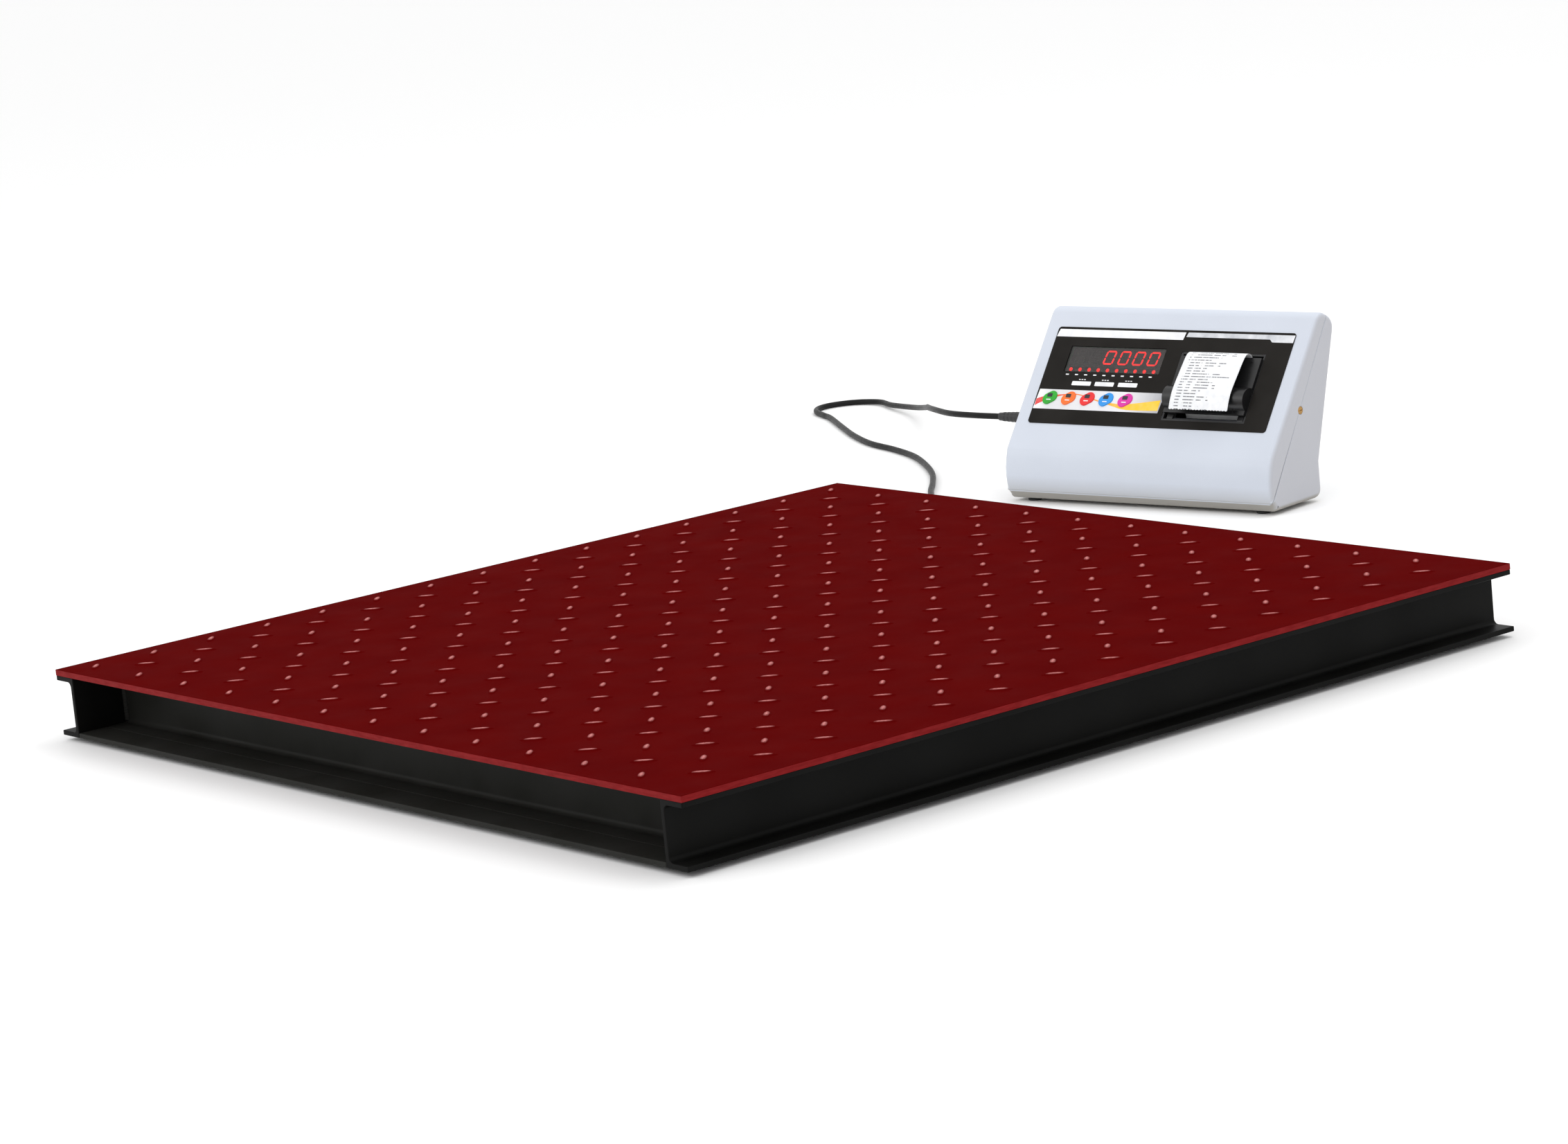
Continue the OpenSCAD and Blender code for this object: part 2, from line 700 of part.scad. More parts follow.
module status_lamps() color("red") on_face()
    for (i = [0:9])
        translate([lamp_x0 + i * lamp_step, lamp_v, -9.5]) cylinder(r = 1.5, h = 7.3, $fn = 24);

// A key: cap proud of the panel and a stem under it
module key(i, paint) color(paint) on_face()
    translate([key_x[i], key_v, 0]) {
        translate([0, 0, -key_depth]) linear_extrude(key_depth + key_proud) key_shape();
        translate([0, 0, -key_depth]) linear_extrude(1.4) key_shape(1.5);
        translate([0, 0, -key_depth - 1.5]) cylinder(r = 2, h = 2);
    }

// Board behind the face, with the key switches
module control_board() color([0.05, 0.3, 0.12]) on_face() {
    block([24, 44, -11.5], [196, 150, -9.9]);
    for (x = key_x)
        block([x - 3, key_v - 3, -9.9], [x + 3, key_v + 3, -key_depth - 2.6]);
    block([40, 126, -22], [70, 142, -11.5]);
    block([100, 60, -20], [150, 80, -11.5]);
}

// ---------- terminal: printer ----------

bay_outline = [[bay_v[0] + 0.3, -bay_deep], [bay_step_v - 14, -bay_deep],
    [bay_step_v, -bay_deep + 9], [bay_v[1] - 0.3, -bay_shallow],
    [bay_v[1] - 0.3, 0], [bay_v[0] + 0.3, 0]];
bay_hollow = [[bay_v[0] + 2.3, -bay_deep + 2], [bay_step_v - 15, -bay_deep + 2],
    [bay_step_v - 1, -bay_deep + 11], [bay_v[1] - 2.3, -bay_shallow + 1.5],
    [bay_v[1] - 2.3, 1], [bay_v[0] + 2.3, 1]];

// Tray that holds the roll, the print head and the door's hinge
module printer_frame() color([0.12, 0.12, 0.13]) on_face()
    difference() {
        union() {
            difference() {
                along_x(bay_x[0] + 0.3, bay_x[1] - 0.3) polygon(bay_outline);
                along_x(bay_x[0] + 2.3, bay_x[1] - 2.3) polygon(bay_hollow);
            }
            // Posts that carry the print head
            for (x = [paper_mid - 30, paper_mid + 24])
                block([x, platen_v - 3, -45.5], [x + 6, platen_v + 3, head_n - head_t]);
            rod_x(bay_x[0] + 1, bay_x[1] - 1, [roll_v, roll_n], spindle_r);
        }
        rod_x(bay_x[0] - 1, bay_x[1] + 1, [hinge_v, hinge_n], hinge_r);
        // Slot in the right wall for the motor's pinion
        block([bay_x[1] - 3, platen_v - 7, pinion_n - 7], [bay_x[1] + 1, platen_v + 7, pinion_n + 7]);
    }

// Thermal print head on its heat sink, just under the platen
module print_head() color("silver") on_face()
    block([paper_mid - 43, platen_v - 6, head_n - head_t], [paper_mid + 43, platen_v + 8, head_n]);

module door_hinge_pin() color("silver") on_face()
    rod_x(bay_x[0] + 0.5, bay_x[1] - 0.5, [hinge_v, hinge_n], hinge_r);

// Door with a round bulge over the roll, knuckles at its foot and the platen's ears
module printer_door() color(part_black) on_face() {
    difference() {
        union() {
            block([door_x[0], hinge_v + 4, 0.6], [door_x[1], 121, 3.4]);
            rod_x(door_x[0], door_x[1], [bulge_v, 0.6], bulge_r);
            for (x = [door_x[0] + 3, door_x[1] - 11]) {
                rod_x(x, x + 8, [hinge_v, hinge_n], knuckle_r);
                block([x, hinge_v, hinge_n - knuckle_r], [x + 8, hinge_v + 11, hinge_n + knuckle_r]);
                block([x, hinge_v + 6, hinge_n], [x + 8, hinge_v + 11, 1]);
            }
            for (x = [paper_mid - 48, paper_mid + 45])
                block([x, platen_v - 5, platen_n - 4], [x + 3, 121, 1]);
        }
        block([door_x[0] - 1, bulge_v - bulge_r - 1, -bulge_r - 1], [door_x[1] + 1, bulge_v + bulge_r + 1, 0.6]);
        rod_x(door_x[0] + 2, door_x[1] - 2, [bulge_v, 0.6], bulge_r - 2);
        rod_x(door_x[0] - 1, door_x[1] + 1, [hinge_v, hinge_n], hinge_r + run_gap);
        rod_x(door_x[0] - 1, door_x[1] + 1, [platen_v, platen_n], platen_shaft_r + 2 * run_gap);
        // Pocket over the platen's gear
        block([paper_mid + 49.4, platen_v - 6, 0], [paper_mid + 54.6, platen_v + 4, 2]);
    }
}

// A spur gear's outline with straight-sided teeth
module gear_outline(teeth) {
    r = gear_module * teeth / 2;
    union() {
        circle(r - gear_module * 1.1);
        for (i = [0:teeth - 1])
            rotate(i * 360 / teeth)
                polygon([[r - gear_module * 2, -0.75], [r - gear_module * 2, 0.75],
                    [r, 0.5], [r + gear_module * 0.7, 0.25], [r + gear_module * 0.7, -0.25], [r, -0.5]]);
    }
}

// Rubber platen on its shaft, with the gear at its right end
module platen_roller() color([0.2, 0.2, 0.2]) on_face() {
    rod_x(paper_mid - 41, paper_mid + 41, [platen_v, platen_n], platen_r);
    rod_x(paper_mid - 50, paper_mid + 54.5, [platen_v, platen_n], platen_shaft_r);
    translate([paper_mid + 50, platen_v, platen_n])
        rotate([90, 0, 90]) linear_extrude(gear_t) gear_outline(platen_teeth);
}

// Receipt that has been fed out, curling down over the door
module receipt() color("white") on_face() {
    outer = concat([[122.6, 0], [124.2, 3]], arc([116, 5], 8.4, 0, 90, 6), [[100, 15.6], [84, 17.4]],
        arc([70, 3.6], 14.6, 75, 130, 5), [[56, 15.6], [49, 14]]);
    inner = concat([[49, 13.6], [56, 15.1]], arc([70, 3.6], 14.2, 130, 75, 5),
        [[84, 17], [100, 15.2]], arc([116, 5], 8, 90, 0, 6), [[123.8, 3], [122.2, 0]]);
    along_x(paper_mid - paper_w / 2, paper_mid + paper_w / 2) polygon(concat(outer, inner));
}

module paper_roll() color("white") on_face()
    difference() {
        rod_x(paper_mid - paper_w / 2, paper_mid + paper_w / 2, [roll_v, roll_n], paper_roll_r);
        rod_x(paper_mid - paper_w / 2 - 1, paper_mid + paper_w / 2 + 1, [roll_v, roll_n], spindle_r + run_gap);
    }

// Stepper motor on the outside of the tray's right wall
module feed_motor() color([0.6, 0.6, 0.62]) on_face() {
    block([bay_x[1], platen_v - 12, pinion_n - 12], [bay_x[1] + 16, platen_v + 12, pinion_n + 12]);
    rod_x(paper_mid + 49, bay_x[1] + 1, [platen_v, pinion_n], 1.5);
}

module feed_pinion() color([0.85, 0.8, 0.7]) on_face()
    translate([paper_mid + 50, platen_v, pinion_n])
        rotate([90, 0, 90])
            difference() {
                union() {
                    cylinder(r = pinion_r - gear_module * 1.3, h = gear_t);
                    linear_extrude(gear_t) gear_outline(pinion_teeth);
                }
                translate([0, 0, -1]) cylinder(r = 1.5 + run_gap, h = gear_t + 2);
            }

// ---------- terminal: power ----------

// Sealed battery lying on the tub's floor, with its two tabs
module battery() color([0.25, 0.26, 0.3]) on_terminal() {
    block([30, 14, floor_z], [131, 80, floor_z + 47]);
    for (y = [24, 66])
        block([131, y, floor_z + 30], [136, y + 5, floor_z + 31]);
}

// Mains supply: board, transformer and capacitors
module power_supply() color([0.15, 0.3, 0.18]) on_terminal() {
    block([150, 16, floor_z], [250, 76, floor_z + 1.6]);
    block([160, 20, floor_z + 1.6], [200, 60, floor_z + 32]);
    for (y = [34, 56])
        translate([224, y, floor_z + 1.6]) cylinder(r = 9, h = 22);
}

// Three-pin inlet socket on the back
module mains_inlet() color(part_black) on_terminal() {
    difference() {
        union() {
            block([inlet_x - 13.9, rear_y - 26, inlet_z - 9.9], [inlet_x + 13.9, rear_y, inlet_z + 9.9]);
            block([inlet_x - 18, rear_y, inlet_z - 12], [inlet_x + 18, rear_y + 2, inlet_z + 12]);
        }
        block([inlet_x - 11, rear_y - 16, inlet_z - 7], [inlet_x + 11, rear_y + 3, inlet_z + 7]);
    }
    for (x = [-6, 0, 6])
        block([inlet_x + x - 1, rear_y - 17, inlet_z - 2], [inlet_x + x + 1, rear_y - 1, inlet_z + 2]);
}

// Rocker switch housing; the rocker turns on a pin along X
module power_switch() color(part_black) on_terminal()
    difference() {
        union() {
            block([switch_x - 9.4, rear_y - 16, switch_z - 6.4], [switch_x + 9.4, rear_y, switch_z + 6.4]);
            block([switch_x - 11.5, rear_y, switch_z - 8.5], [switch_x + 11.5, rear_y + 1.6, switch_z + 8.5]);
        }
        block([switch_x - 8, rear_y - 10, switch_z - 5.4], [switch_x + 8, rear_y + 2, switch_z + 5.4]);
        rod_x(switch_x - 9, switch_x + 9, [rear_y - 2, switch_z], 1 + run_gap);
    }

// Rocker, resting in its off position
module power_rocker() color(part_black) on_terminal()
    translate([switch_x, rear_y - 2, switch_z]) rotate([8, 0, 0]) {
        along_x(-7.6, 7.6)
            polygon([[-3, -1.6], [2.6, -4.8], [3.5, -4.8], [2.2, 0], [3.5, 4.8], [2.6, 4.8], [-3, 1.6]]);
        rod_x(-8.8, 8.8, [0, 0], 1);
    }

// ---------- assembly ----------

deck_plate();
side_channel(-1);  // side_channel_left
side_channel(1);  // side_channel_right
end_channel(-1);  // end_channel_front
end_channel(1);  // end_channel_rear
tie_bars();
deck_ribs();
cell_blocks();
load_cell(corner_signs[0]);  // load_cell_front_left
load_cell(corner_signs[1]);  // load_cell_front_right
load_cell(corner_signs[2]);  // load_cell_rear_left
load_cell(corner_signs[3]);  // load_cell_rear_right
load_cell_bolts();
foot_locknuts();
foot_stem(corner_signs[0]);  // foot_stem_front_left
foot_stem(corner_signs[1]);  // foot_stem_front_right
foot_stem(corner_signs[2]);  // foot_stem_rear_left
foot_stem(corner_signs[3]);  // foot_stem_rear_right
foot_pad(corner_signs[0]);  // foot_pad_front_left
foot_pad(corner_signs[1]);  // foot_pad_front_right
foot_pad(corner_signs[2]);  // foot_pad_rear_left
foot_pad(corner_signs[3]);  // foot_pad_rear_right
junction_box();
junction_box_lid();
junction_box_screws();
junction_board();
junction_glands();
inner_leads();
platform_gland();
cable();
terminal_gland();
front_cover();
rear_tub();
case_screws();
case_feet();
front_panel();
display_window();
display_module();
display_segments();
status_lamps();
key(0, [0.06, 0.6, 0.06]);  // key_green
key(1, [0.94, 0.44, 0.12]);  // key_orange
key(2, [0.88, 0.1, 0.1]);  // key_red
key(3, [0.12, 0.56, 0.88]);  // key_blue
key(4, [0.82, 0.12, 0.63]);  // key_magenta
control_board();
printer_frame();
print_head();
printer_door();
door_hinge_pin();
platen_roller();
receipt();
paper_roll();
feed_motor();
feed_pinion();
battery();
power_supply();
mains_inlet();
power_switch();
power_rocker();
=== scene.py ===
"""Looks of a pallet scale: chequer plate deck, enamelled frame, moulded terminal,
printed panel, lit display, receipt and cable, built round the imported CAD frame."""

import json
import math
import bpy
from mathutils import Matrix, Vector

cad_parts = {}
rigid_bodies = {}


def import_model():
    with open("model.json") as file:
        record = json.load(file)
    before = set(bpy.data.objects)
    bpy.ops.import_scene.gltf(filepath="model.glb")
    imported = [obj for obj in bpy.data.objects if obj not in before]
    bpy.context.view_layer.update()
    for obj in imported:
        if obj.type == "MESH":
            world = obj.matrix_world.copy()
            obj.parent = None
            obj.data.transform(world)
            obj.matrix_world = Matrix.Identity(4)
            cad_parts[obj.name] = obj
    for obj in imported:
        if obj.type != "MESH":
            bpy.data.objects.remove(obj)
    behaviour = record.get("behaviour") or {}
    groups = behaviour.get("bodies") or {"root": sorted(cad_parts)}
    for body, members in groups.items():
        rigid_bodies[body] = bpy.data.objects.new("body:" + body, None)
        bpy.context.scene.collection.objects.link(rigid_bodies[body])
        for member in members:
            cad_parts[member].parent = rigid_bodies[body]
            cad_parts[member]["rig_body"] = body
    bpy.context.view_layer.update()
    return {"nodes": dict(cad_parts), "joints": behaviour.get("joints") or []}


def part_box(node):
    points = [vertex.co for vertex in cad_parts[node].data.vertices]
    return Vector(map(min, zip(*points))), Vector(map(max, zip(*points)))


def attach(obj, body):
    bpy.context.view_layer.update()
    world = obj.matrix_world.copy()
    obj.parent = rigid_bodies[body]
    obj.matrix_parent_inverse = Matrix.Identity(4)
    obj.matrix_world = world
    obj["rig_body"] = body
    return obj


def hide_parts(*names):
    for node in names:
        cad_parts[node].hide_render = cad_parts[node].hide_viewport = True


bl_info = {
    "name": "Pallet scale looks",
    "version": (1, 0, 0),
    "blender": (4, 5, 0),
    "location": "View3D > Sidebar > Pallet scale",
    "description": "Builds the visible surfaces of a platform scale with its terminal",
    "category": "Object",
}

import bmesh
import bpy
from bpy.props import FloatProperty, FloatVectorProperty, IntProperty, PointerProperty
from mathutils import Matrix, Vector

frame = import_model()
MM = 0.001


# ---- where things are

def record_item(items, name):
    """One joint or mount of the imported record, by its name."""
    return next(item for item in items if item["name"] == name)


DOOR_HINGE = record_item(frame["joints"], "door_hinge")
KEY_PRESS = record_item(frame["joints"], "key_green_press")

# The terminal's face: ACROSS it, UP it and OUT of it, from the face's lower left corner.
# The printer door's hinge is at PRINTER_MIDDLE across, 47 mm up and 5 mm deep.
RISE = Vector((0, 0, 1))
CASE_WIDTH = 370
PRINTER_MIDDLE = 261
ACROSS = Vector(DOOR_HINGE["axis"]).normalized()
OUT = -Vector(KEY_PRESS["axis"]).normalized()
UP = OUT.cross(ACROSS)
FACE_ORIGIN = (Vector(DOOR_HINGE["pos_m"]) - ACROSS * PRINTER_MIDDLE * MM - UP * 47 * MM
               + OUT * 5 * MM)
BACK = RISE.cross(ACROSS)

# The case's two halves meet in a plane that leans back, up from the front edge's foot.
SEAM_NORMAL = (BACK * 189 - RISE * 127.3).normalized()
DECK_LOW, DECK_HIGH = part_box("deck_plate")
PLATFORM = (DECK_LOW + DECK_HIGH) / 2
PLATFORM.z = 0

# Lamps and digits on the face: the first one's place across and up, and the pitch.
LAMP_COUNT, LAMP_ACROSS, LAMP_UP, LAMP_PITCH = 10, 54, 102, 13
DIGIT_ACROSS, DIGIT_UP, DIGIT_PITCH = 55, 109, 20.5
DIGIT_BASE, DIGIT_THICK = -2.6, 0.4
INK_THICK = 0.09
KEY_TOP = 2.2


def on_face(x, v, n=0.0):
    """A point on the terminal's face: x across, v up it and n out of it, in millimetres."""
    return FACE_ORIGIN + (ACROSS * x + UP * v + OUT * n) * MM


def on_platform(x, y, z):
    """A point from the platform's centre at floor level, in millimetres."""
    return PLATFORM + Vector((x, y, z)) * MM


# ---- colours and nodes

def colour(hex_code):
    """An sRGB hex colour as linear red, green, blue and alpha."""
    channels = [int(hex_code[i:i + 2], 16) / 255 for i in (1, 3, 5)]
    linear = [c / 12.92 if c <= 0.04045 else ((c + 0.055) / 1.055) ** 2.4 for c in channels]
    return (*linear, 1.0)


def add(tree, kind, inputs=None, **settings):
    """Adds a node and returns its first live output; an input may be a value or an output."""
    node = tree.nodes.new(kind)
    for name, value in settings.items():
        setattr(node, name, value)
    for name, value in (inputs or {}).items():
        if isinstance(value, bpy.types.NodeSocket):
            tree.links.new(value, node.inputs[name])
        else:
            node.inputs[name].default_value = value
    return next((output for output in node.outputs if output.enabled), None)


def start(name):
    """A new material's empty node tree."""
    material = bpy.data.materials.new(name)
    material.use_nodes = True
    material.node_tree.nodes.clear()
    return material, material.node_tree


def finish(material, surface):
    """Sends a surface to the material's output."""
    add(material.node_tree, "ShaderNodeOutputMaterial", {"Surface": surface})
    return material


def pattern(tree, size_mm, low, high, detail=3.0, stretch=(1, 1, 1)):
    """Noise with features about size_mm across, spread over low to high."""
    node = tree.nodes.new("ShaderNodeTexCoord")
    place = add(tree, "ShaderNodeMapping", {"Vector": node.outputs["Object"], "Scale": stretch})
    noise = add(tree, "ShaderNodeTexNoise", {
        "Vector": place, "Scale": 1000 / size_mm, "Detail": detail})
    return add(tree, "ShaderNodeMapRange", {
        "Value": noise, "From Min": 0.3, "From Max": 0.7, "To Min": low, "To Max": high})


def mottled(tree, size_mm, first, second, stretch=(1, 1, 1)):
    """Two colours that drift into each other over patches about size_mm across."""
    amount = pattern(tree, size_mm, 0.0, 1.0, 4.0, stretch)
    return add(tree, "ShaderNodeMix", {0: amount, 6: first, 7: second}, data_type="RGBA")


def relief(tree, size_mm, depth_mm, strength=0.5, stretch=(1, 1, 1)):
    """A fine relief with grains about size_mm across and depth_mm deep."""
    height = pattern(tree, size_mm, 0.0, 1.0, 2.0, stretch)
    return add(tree, "ShaderNodeBump", {
        "Height": height, "Distance": depth_mm * MM, "Strength": strength})


def shade(value, hex_code):
    """A darker or lighter version of a colour, as linear RGBA."""
    return (*[min(1.0, c * value) for c in colour(hex_code)[:3]], 1.0)


# ---- materials

def surface(name, tint, gloss, grain, settings):
    """A material from the arguments of mottled (tint), pattern (gloss) and relief (grain)."""
    material, tree = start(name)
    return finish(material, add(tree, "ShaderNodeBsdfPrincipled", {
        "Base Color": mottled(tree, *tint), "Roughness": pattern(tree, *gloss), **settings,
        "Normal": relief(tree, *grain)}))


def deck_enamel():
    """Alkyd enamel sprayed on rolled chequer plate: orange peel, and lug crests where loads wear
    the paint thin, paled too by a painted highlight.
    """
    material, tree = start("deck_enamel")
    paint = mottled(tree, 60, colour("#530506"), colour("#580606"))
    # The crest attribute is 1 on top of each lug, where loads rub the paint. The pale colour there
    # is part wear and part painted highlight, as the enamel's own sheen is almost off.
    node = tree.nodes.new("ShaderNodeAttribute")
    node.attribute_name = "crest"
    specks = pattern(tree, 2.5, 0.5, 1.0, 2.0)
    rubbed_and_highlight = add(tree, "ShaderNodeMath", {0: node.outputs["Fac"], 1: specks}, operation="MULTIPLY")
    # Pale pink at the crests: part wear, part painted highlight.
    worn_and_highlight = add(tree, "ShaderNodeMix", {0: rubbed_and_highlight, 6: paint, 7: colour("#D88C8A")}, data_type="RGBA")
    return finish(material, add(tree, "ShaderNodeBsdfPrincipled", {
        "Base Color": worn_and_highlight, "Roughness": pattern(tree, 40, 0.45, 0.6, 5.0), "IOR": 1.5,
        "Specular IOR Level": 0.0005, "Normal": relief(tree, 3.0, 0.05)}))


def deck_edge_enamel():
    """The same enamel on the plate's sheared edge, in a paler red than on the top."""
    return surface(
        "deck_edge_enamel", (14, colour("#6E1012"), colour("#801C1E"), (1, 1, 6)),
        (8, 0.46, 0.58), (2.0, 0.08), {"IOR": 1.5, "Specular IOR Level": 0.05})


def frame_enamel(name, first, second):
    """Black semi-gloss enamel on hot-rolled channel: mill scale ripples under the film."""
    return surface(name, (60, colour(first), colour(second)), (30, 0.38, 0.52, 5.0), (9.0, 0.07),
                   {"IOR": 1.5, "Specular IOR Level": 0.06})


def case_plastic():
    """Injection moulded ABS: cool off-white with the spark-eroded grain of the mould.

    Its sides are painted a little greyer and what faces the floor a warm grey: painted shade."""
    # Real grain is about 0.2 mm; it is drawn at 0.8 mm so that it shows.
    material, tree = start("case_plastic")
    # Painted shade, chosen by the surface normal: greyer on the sides, warm grey on what faces the
    # floor.
    normal = tree.nodes.new("ShaderNodeNewGeometry").outputs["Normal"]
    sideways = add(tree, "ShaderNodeVectorMath", {0: normal, 1: ACROSS}, operation="DOT_PRODUCT")
    sideways = add(tree, "ShaderNodeMath", {0: sideways}, operation="ABSOLUTE")
    sideways = add(tree, "ShaderNodeMapRange", {0: sideways, 1: 0.4, 2: 1.0})
    down = add(tree, "ShaderNodeVectorMath", {0: normal, 1: (0, 0, -1)}, operation="DOT_PRODUCT")
    down = add(tree, "ShaderNodeMapRange", {0: down, 1: 0.0, 2: 0.5})
    shell = mottled(tree, 120, colour("#C9CFDA"), colour("#CED4DF"))
    # Painted shade on the sides.
    shell = add(tree, "ShaderNodeMix", {
        0: sideways, 6: shell, 7: colour("#B3B4BA")}, data_type="RGBA")
    # Painted shade, warm grey, on what faces the floor.
    shell = add(tree, "ShaderNodeMix", {0: down, 6: shell, 7: colour("#9A9791")}, data_type="RGBA")
    return finish(material, add(tree, "ShaderNodeBsdfPrincipled", {
        "Base Color": shell, "Roughness": pattern(tree, 25, 0.40, 0.50, 4.0), "IOR": 1.54,
        "Specular IOR Level": 0.3, "Normal": relief(tree, 0.8, 0.03)}))


def moulded_plastic(name, hex_code, roughness=0.42, grain_mm=0.9, depth_mm=0.03):
    """Moulded ABS or nylon in one colour, with mould grain and slightly uneven gloss."""
    return surface(name, (18, shade(0.88, hex_code), shade(1.12, hex_code)),
                   (9, roughness - 0.05, roughness + 0.06), (grain_mm, depth_mm), {"IOR": 1.52})


def rubber(name, hex_code="#1A1A1A"):
    """Moulded rubber: matt and a little mottled, with a soft fine texture."""
    return surface(name, (6, shade(0.8, hex_code), shade(1.3, hex_code)), (3, 0.62, 0.80),
                   (0.7, 0.05), {"IOR": 1.5})


def cable_pvc():
    """Extruded PVC jacket: satin black with faint waviness from the die."""
    return surface("cable_pvc", (20, colour("#0F0F0F"), colour("#181818")), (4, 0.36, 0.50),
                   (1.0, 0.04), {"IOR": 1.53, "Specular IOR Level": 0.15})


def plated_metal(name, hex_code, roughness):
    """Nickel, zinc or brass plating over machined metal, with fine tool lines."""
    return surface(name, (5, shade(0.82, hex_code), shade(1.05, hex_code)),
                   (3, roughness - 0.07, roughness + 0.10), (0.9, 0.02, 0.5, (1, 1, 12)),
                   {"Metallic": 1.0})


def circuit_laminate():
    """Glass-epoxy board under green solder mask, with a grid of tracks."""
    material, tree = start("circuit_laminate")
    place = tree.nodes.new("ShaderNodeTexCoord").outputs["Object"]
    tracks = add(tree, "ShaderNodeTexBrick", {
        "Vector": place, "Scale": 250.0, "Mortar Size": 0.06, "Color1": colour("#0E4A22"),
        "Color2": colour("#125A2A"), "Mortar": colour("#2F7A3A")})
    return finish(material, add(tree, "ShaderNodeBsdfPrincipled", {
        "Base Color": tracks, "Roughness": pattern(tree, 12, 0.26, 0.36), "IOR": 1.55,
        "Normal": relief(tree, 1.5, 0.05)}))


def panel_film():
    """Black-printed polyester film: satin, with a velvet texture and a little dust."""
    return surface("panel_film", (45, colour("#1E1C1A"), colour("#252321")),
                   (16, 0.40, 0.52, 4.0), (0.8, 0.02, 0.4),
                   {"IOR": 1.5, "Specular IOR Level": 0.06})


def printed_ink(name, first, second, roughness=0.38):
    """Screen-printed ink on the film, drifting between two shades."""
    return surface(name, (14, colour(first), colour(second)),
                   (10, roughness - 0.04, roughness + 0.05), (0.8, 0.01, 0.3), {"IOR": 1.5})


def strip_ink(name, stops):
    """Ink that runs through several colours along a strip, from UV x 0 to 1."""
    material, tree = start(name)
    uv = tree.nodes.new("ShaderNodeTexCoord").outputs["UV"]
    along = add(tree, "ShaderNodeSeparateXYZ", {"Vector": uv})
    blend = tree.nodes.new("ShaderNodeValToRGB")
    tree.links.new(along, blend.inputs["Fac"])
    elements = blend.color_ramp.elements
    elements[0].position, elements[0].color = stops[0][0], colour(stops[0][1])
    elements[1].position, elements[1].color = stops[-1][0], colour(stops[-1][1])
    for position, hex_code in stops[1:-1]:
        elements.new(position).color = colour(hex_code)
    paler = pattern(tree, 6, 0.0, 0.08)
    ink = add(tree, "ShaderNodeMix", {
        0: paler, 6: blend.outputs["Color"], 7: colour("#FFFFFF")}, data_type="RGBA")
    return finish(material, add(tree, "ShaderNodeBsdfPrincipled", {
        "Base Color": ink, "Roughness": pattern(tree, 10, 0.30, 0.40), "IOR": 1.5,
        "Normal": relief(tree, 0.8, 0.01, 0.3)}))


def smoked_window():
    """Cast acrylic tinted smoke: clear and glossy, it lets the lit bars through."""
    material, tree = start("smoked_window")
    return finish(material, add(tree, "ShaderNodeBsdfPrincipled", {
        "Base Color": colour("#C9C0BE"), "Roughness": 0.06, "Transmission Weight": 1.0,
        "IOR": 1.49, "Normal": relief(tree, 30, 0.02, 0.2)}))


def lit_diode(name, hex_code, glow, strength):
    """Red diffused epoxy, lit from inside; strength 0 leaves it off."""
    material, tree = start(name)
    return finish(material, add(tree, "ShaderNodeBsdfPrincipled", {
        "Base Color": mottled(tree, 1.5, shade(0.85, hex_code), colour(hex_code)),
        "Roughness": 0.25, "Emission Color": colour(glow), "Emission Strength": strength,
        "IOR": 1.5,
        "Normal": relief(tree, 0.8, 0.01, 0.3)}))


def receipt_paper():
    """Thermal paper: bright, a little blue, with rows of plain grey dashes printed on it."""
    material, tree = start("receipt_paper")
    # UV is in millimetres. Rows are 3.6 mm apart; noise breaks a row into words and letters.
    split = tree.nodes.new("ShaderNodeSeparateXYZ")
    tree.links.new(tree.nodes.new("ShaderNodeTexCoord").outputs["UV"], split.inputs["Vector"])
    across, along = split.outputs["X"], split.outputs["Y"]
    row = add(tree, "ShaderNodeMath", {0: along, 1: 3.6}, operation="DIVIDE")
    number = add(tree, "ShaderNodeMath", {0: row}, operation="FLOOR")
    within = add(tree, "ShaderNodeMath", {0: row}, operation="FRACT")
    place = add(tree, "ShaderNodeCombineXYZ", {"X": across, "Y": number})
    words = add(tree, "ShaderNodeTexNoise", {"Vector": place, "Scale": 0.16, "Detail": 1.0})
    letters = add(tree, "ShaderNodeTexNoise", {"Vector": place, "Scale": 0.9, "Detail": 1.0})
    length = add(tree, "ShaderNodeTexWhiteNoise", {"Vector": number}, noise_dimensions="3D")
    end = add(tree, "ShaderNodeMapRange", {"Value": length, "To Min": 34.0, "To Max": 74.0})
    left = add(tree, "ShaderNodeMath", {0: end, 1: across}, operation="SUBTRACT")
    inked = None
    for value, low, high, to_low, to_high in (
            (words, 0.42, 0.46, 0.0, 1.0), (letters, 0.36, 0.44, 0.25, 1.0),
            (within, 0.26, 0.32, 0.0, 1.0), (within, 0.60, 0.66, 1.0, 0.0),
            (across, 6.0, 6.4, 0.0, 1.0), (left, 0.0, 0.4, 0.0, 1.0)):
        part = add(tree, "ShaderNodeMapRange", {
            "Value": value, "From Min": low, "From Max": high, "To Min": to_low, "To Max": to_high})
        inked = part if inked is None else add(
            tree, "ShaderNodeMath", {0: inked, 1: part}, operation="MULTIPLY")
    paper = mottled(tree, 8, colour("#E9EBEE"), colour("#F6F7F8"))
    printed = add(tree, "ShaderNodeMix", {
        0: inked, 6: paper, 7: colour("#77797E")}, data_type="RGBA")
    return finish(material, add(tree, "ShaderNodeBsdfPrincipled", {
        "Base Color": printed, "Roughness": pattern(tree, 2, 0.55, 0.70), "IOR": 1.45,
        "Normal": relief(tree, 0.8, 0.015, 0.4)}))


# ---- meshes

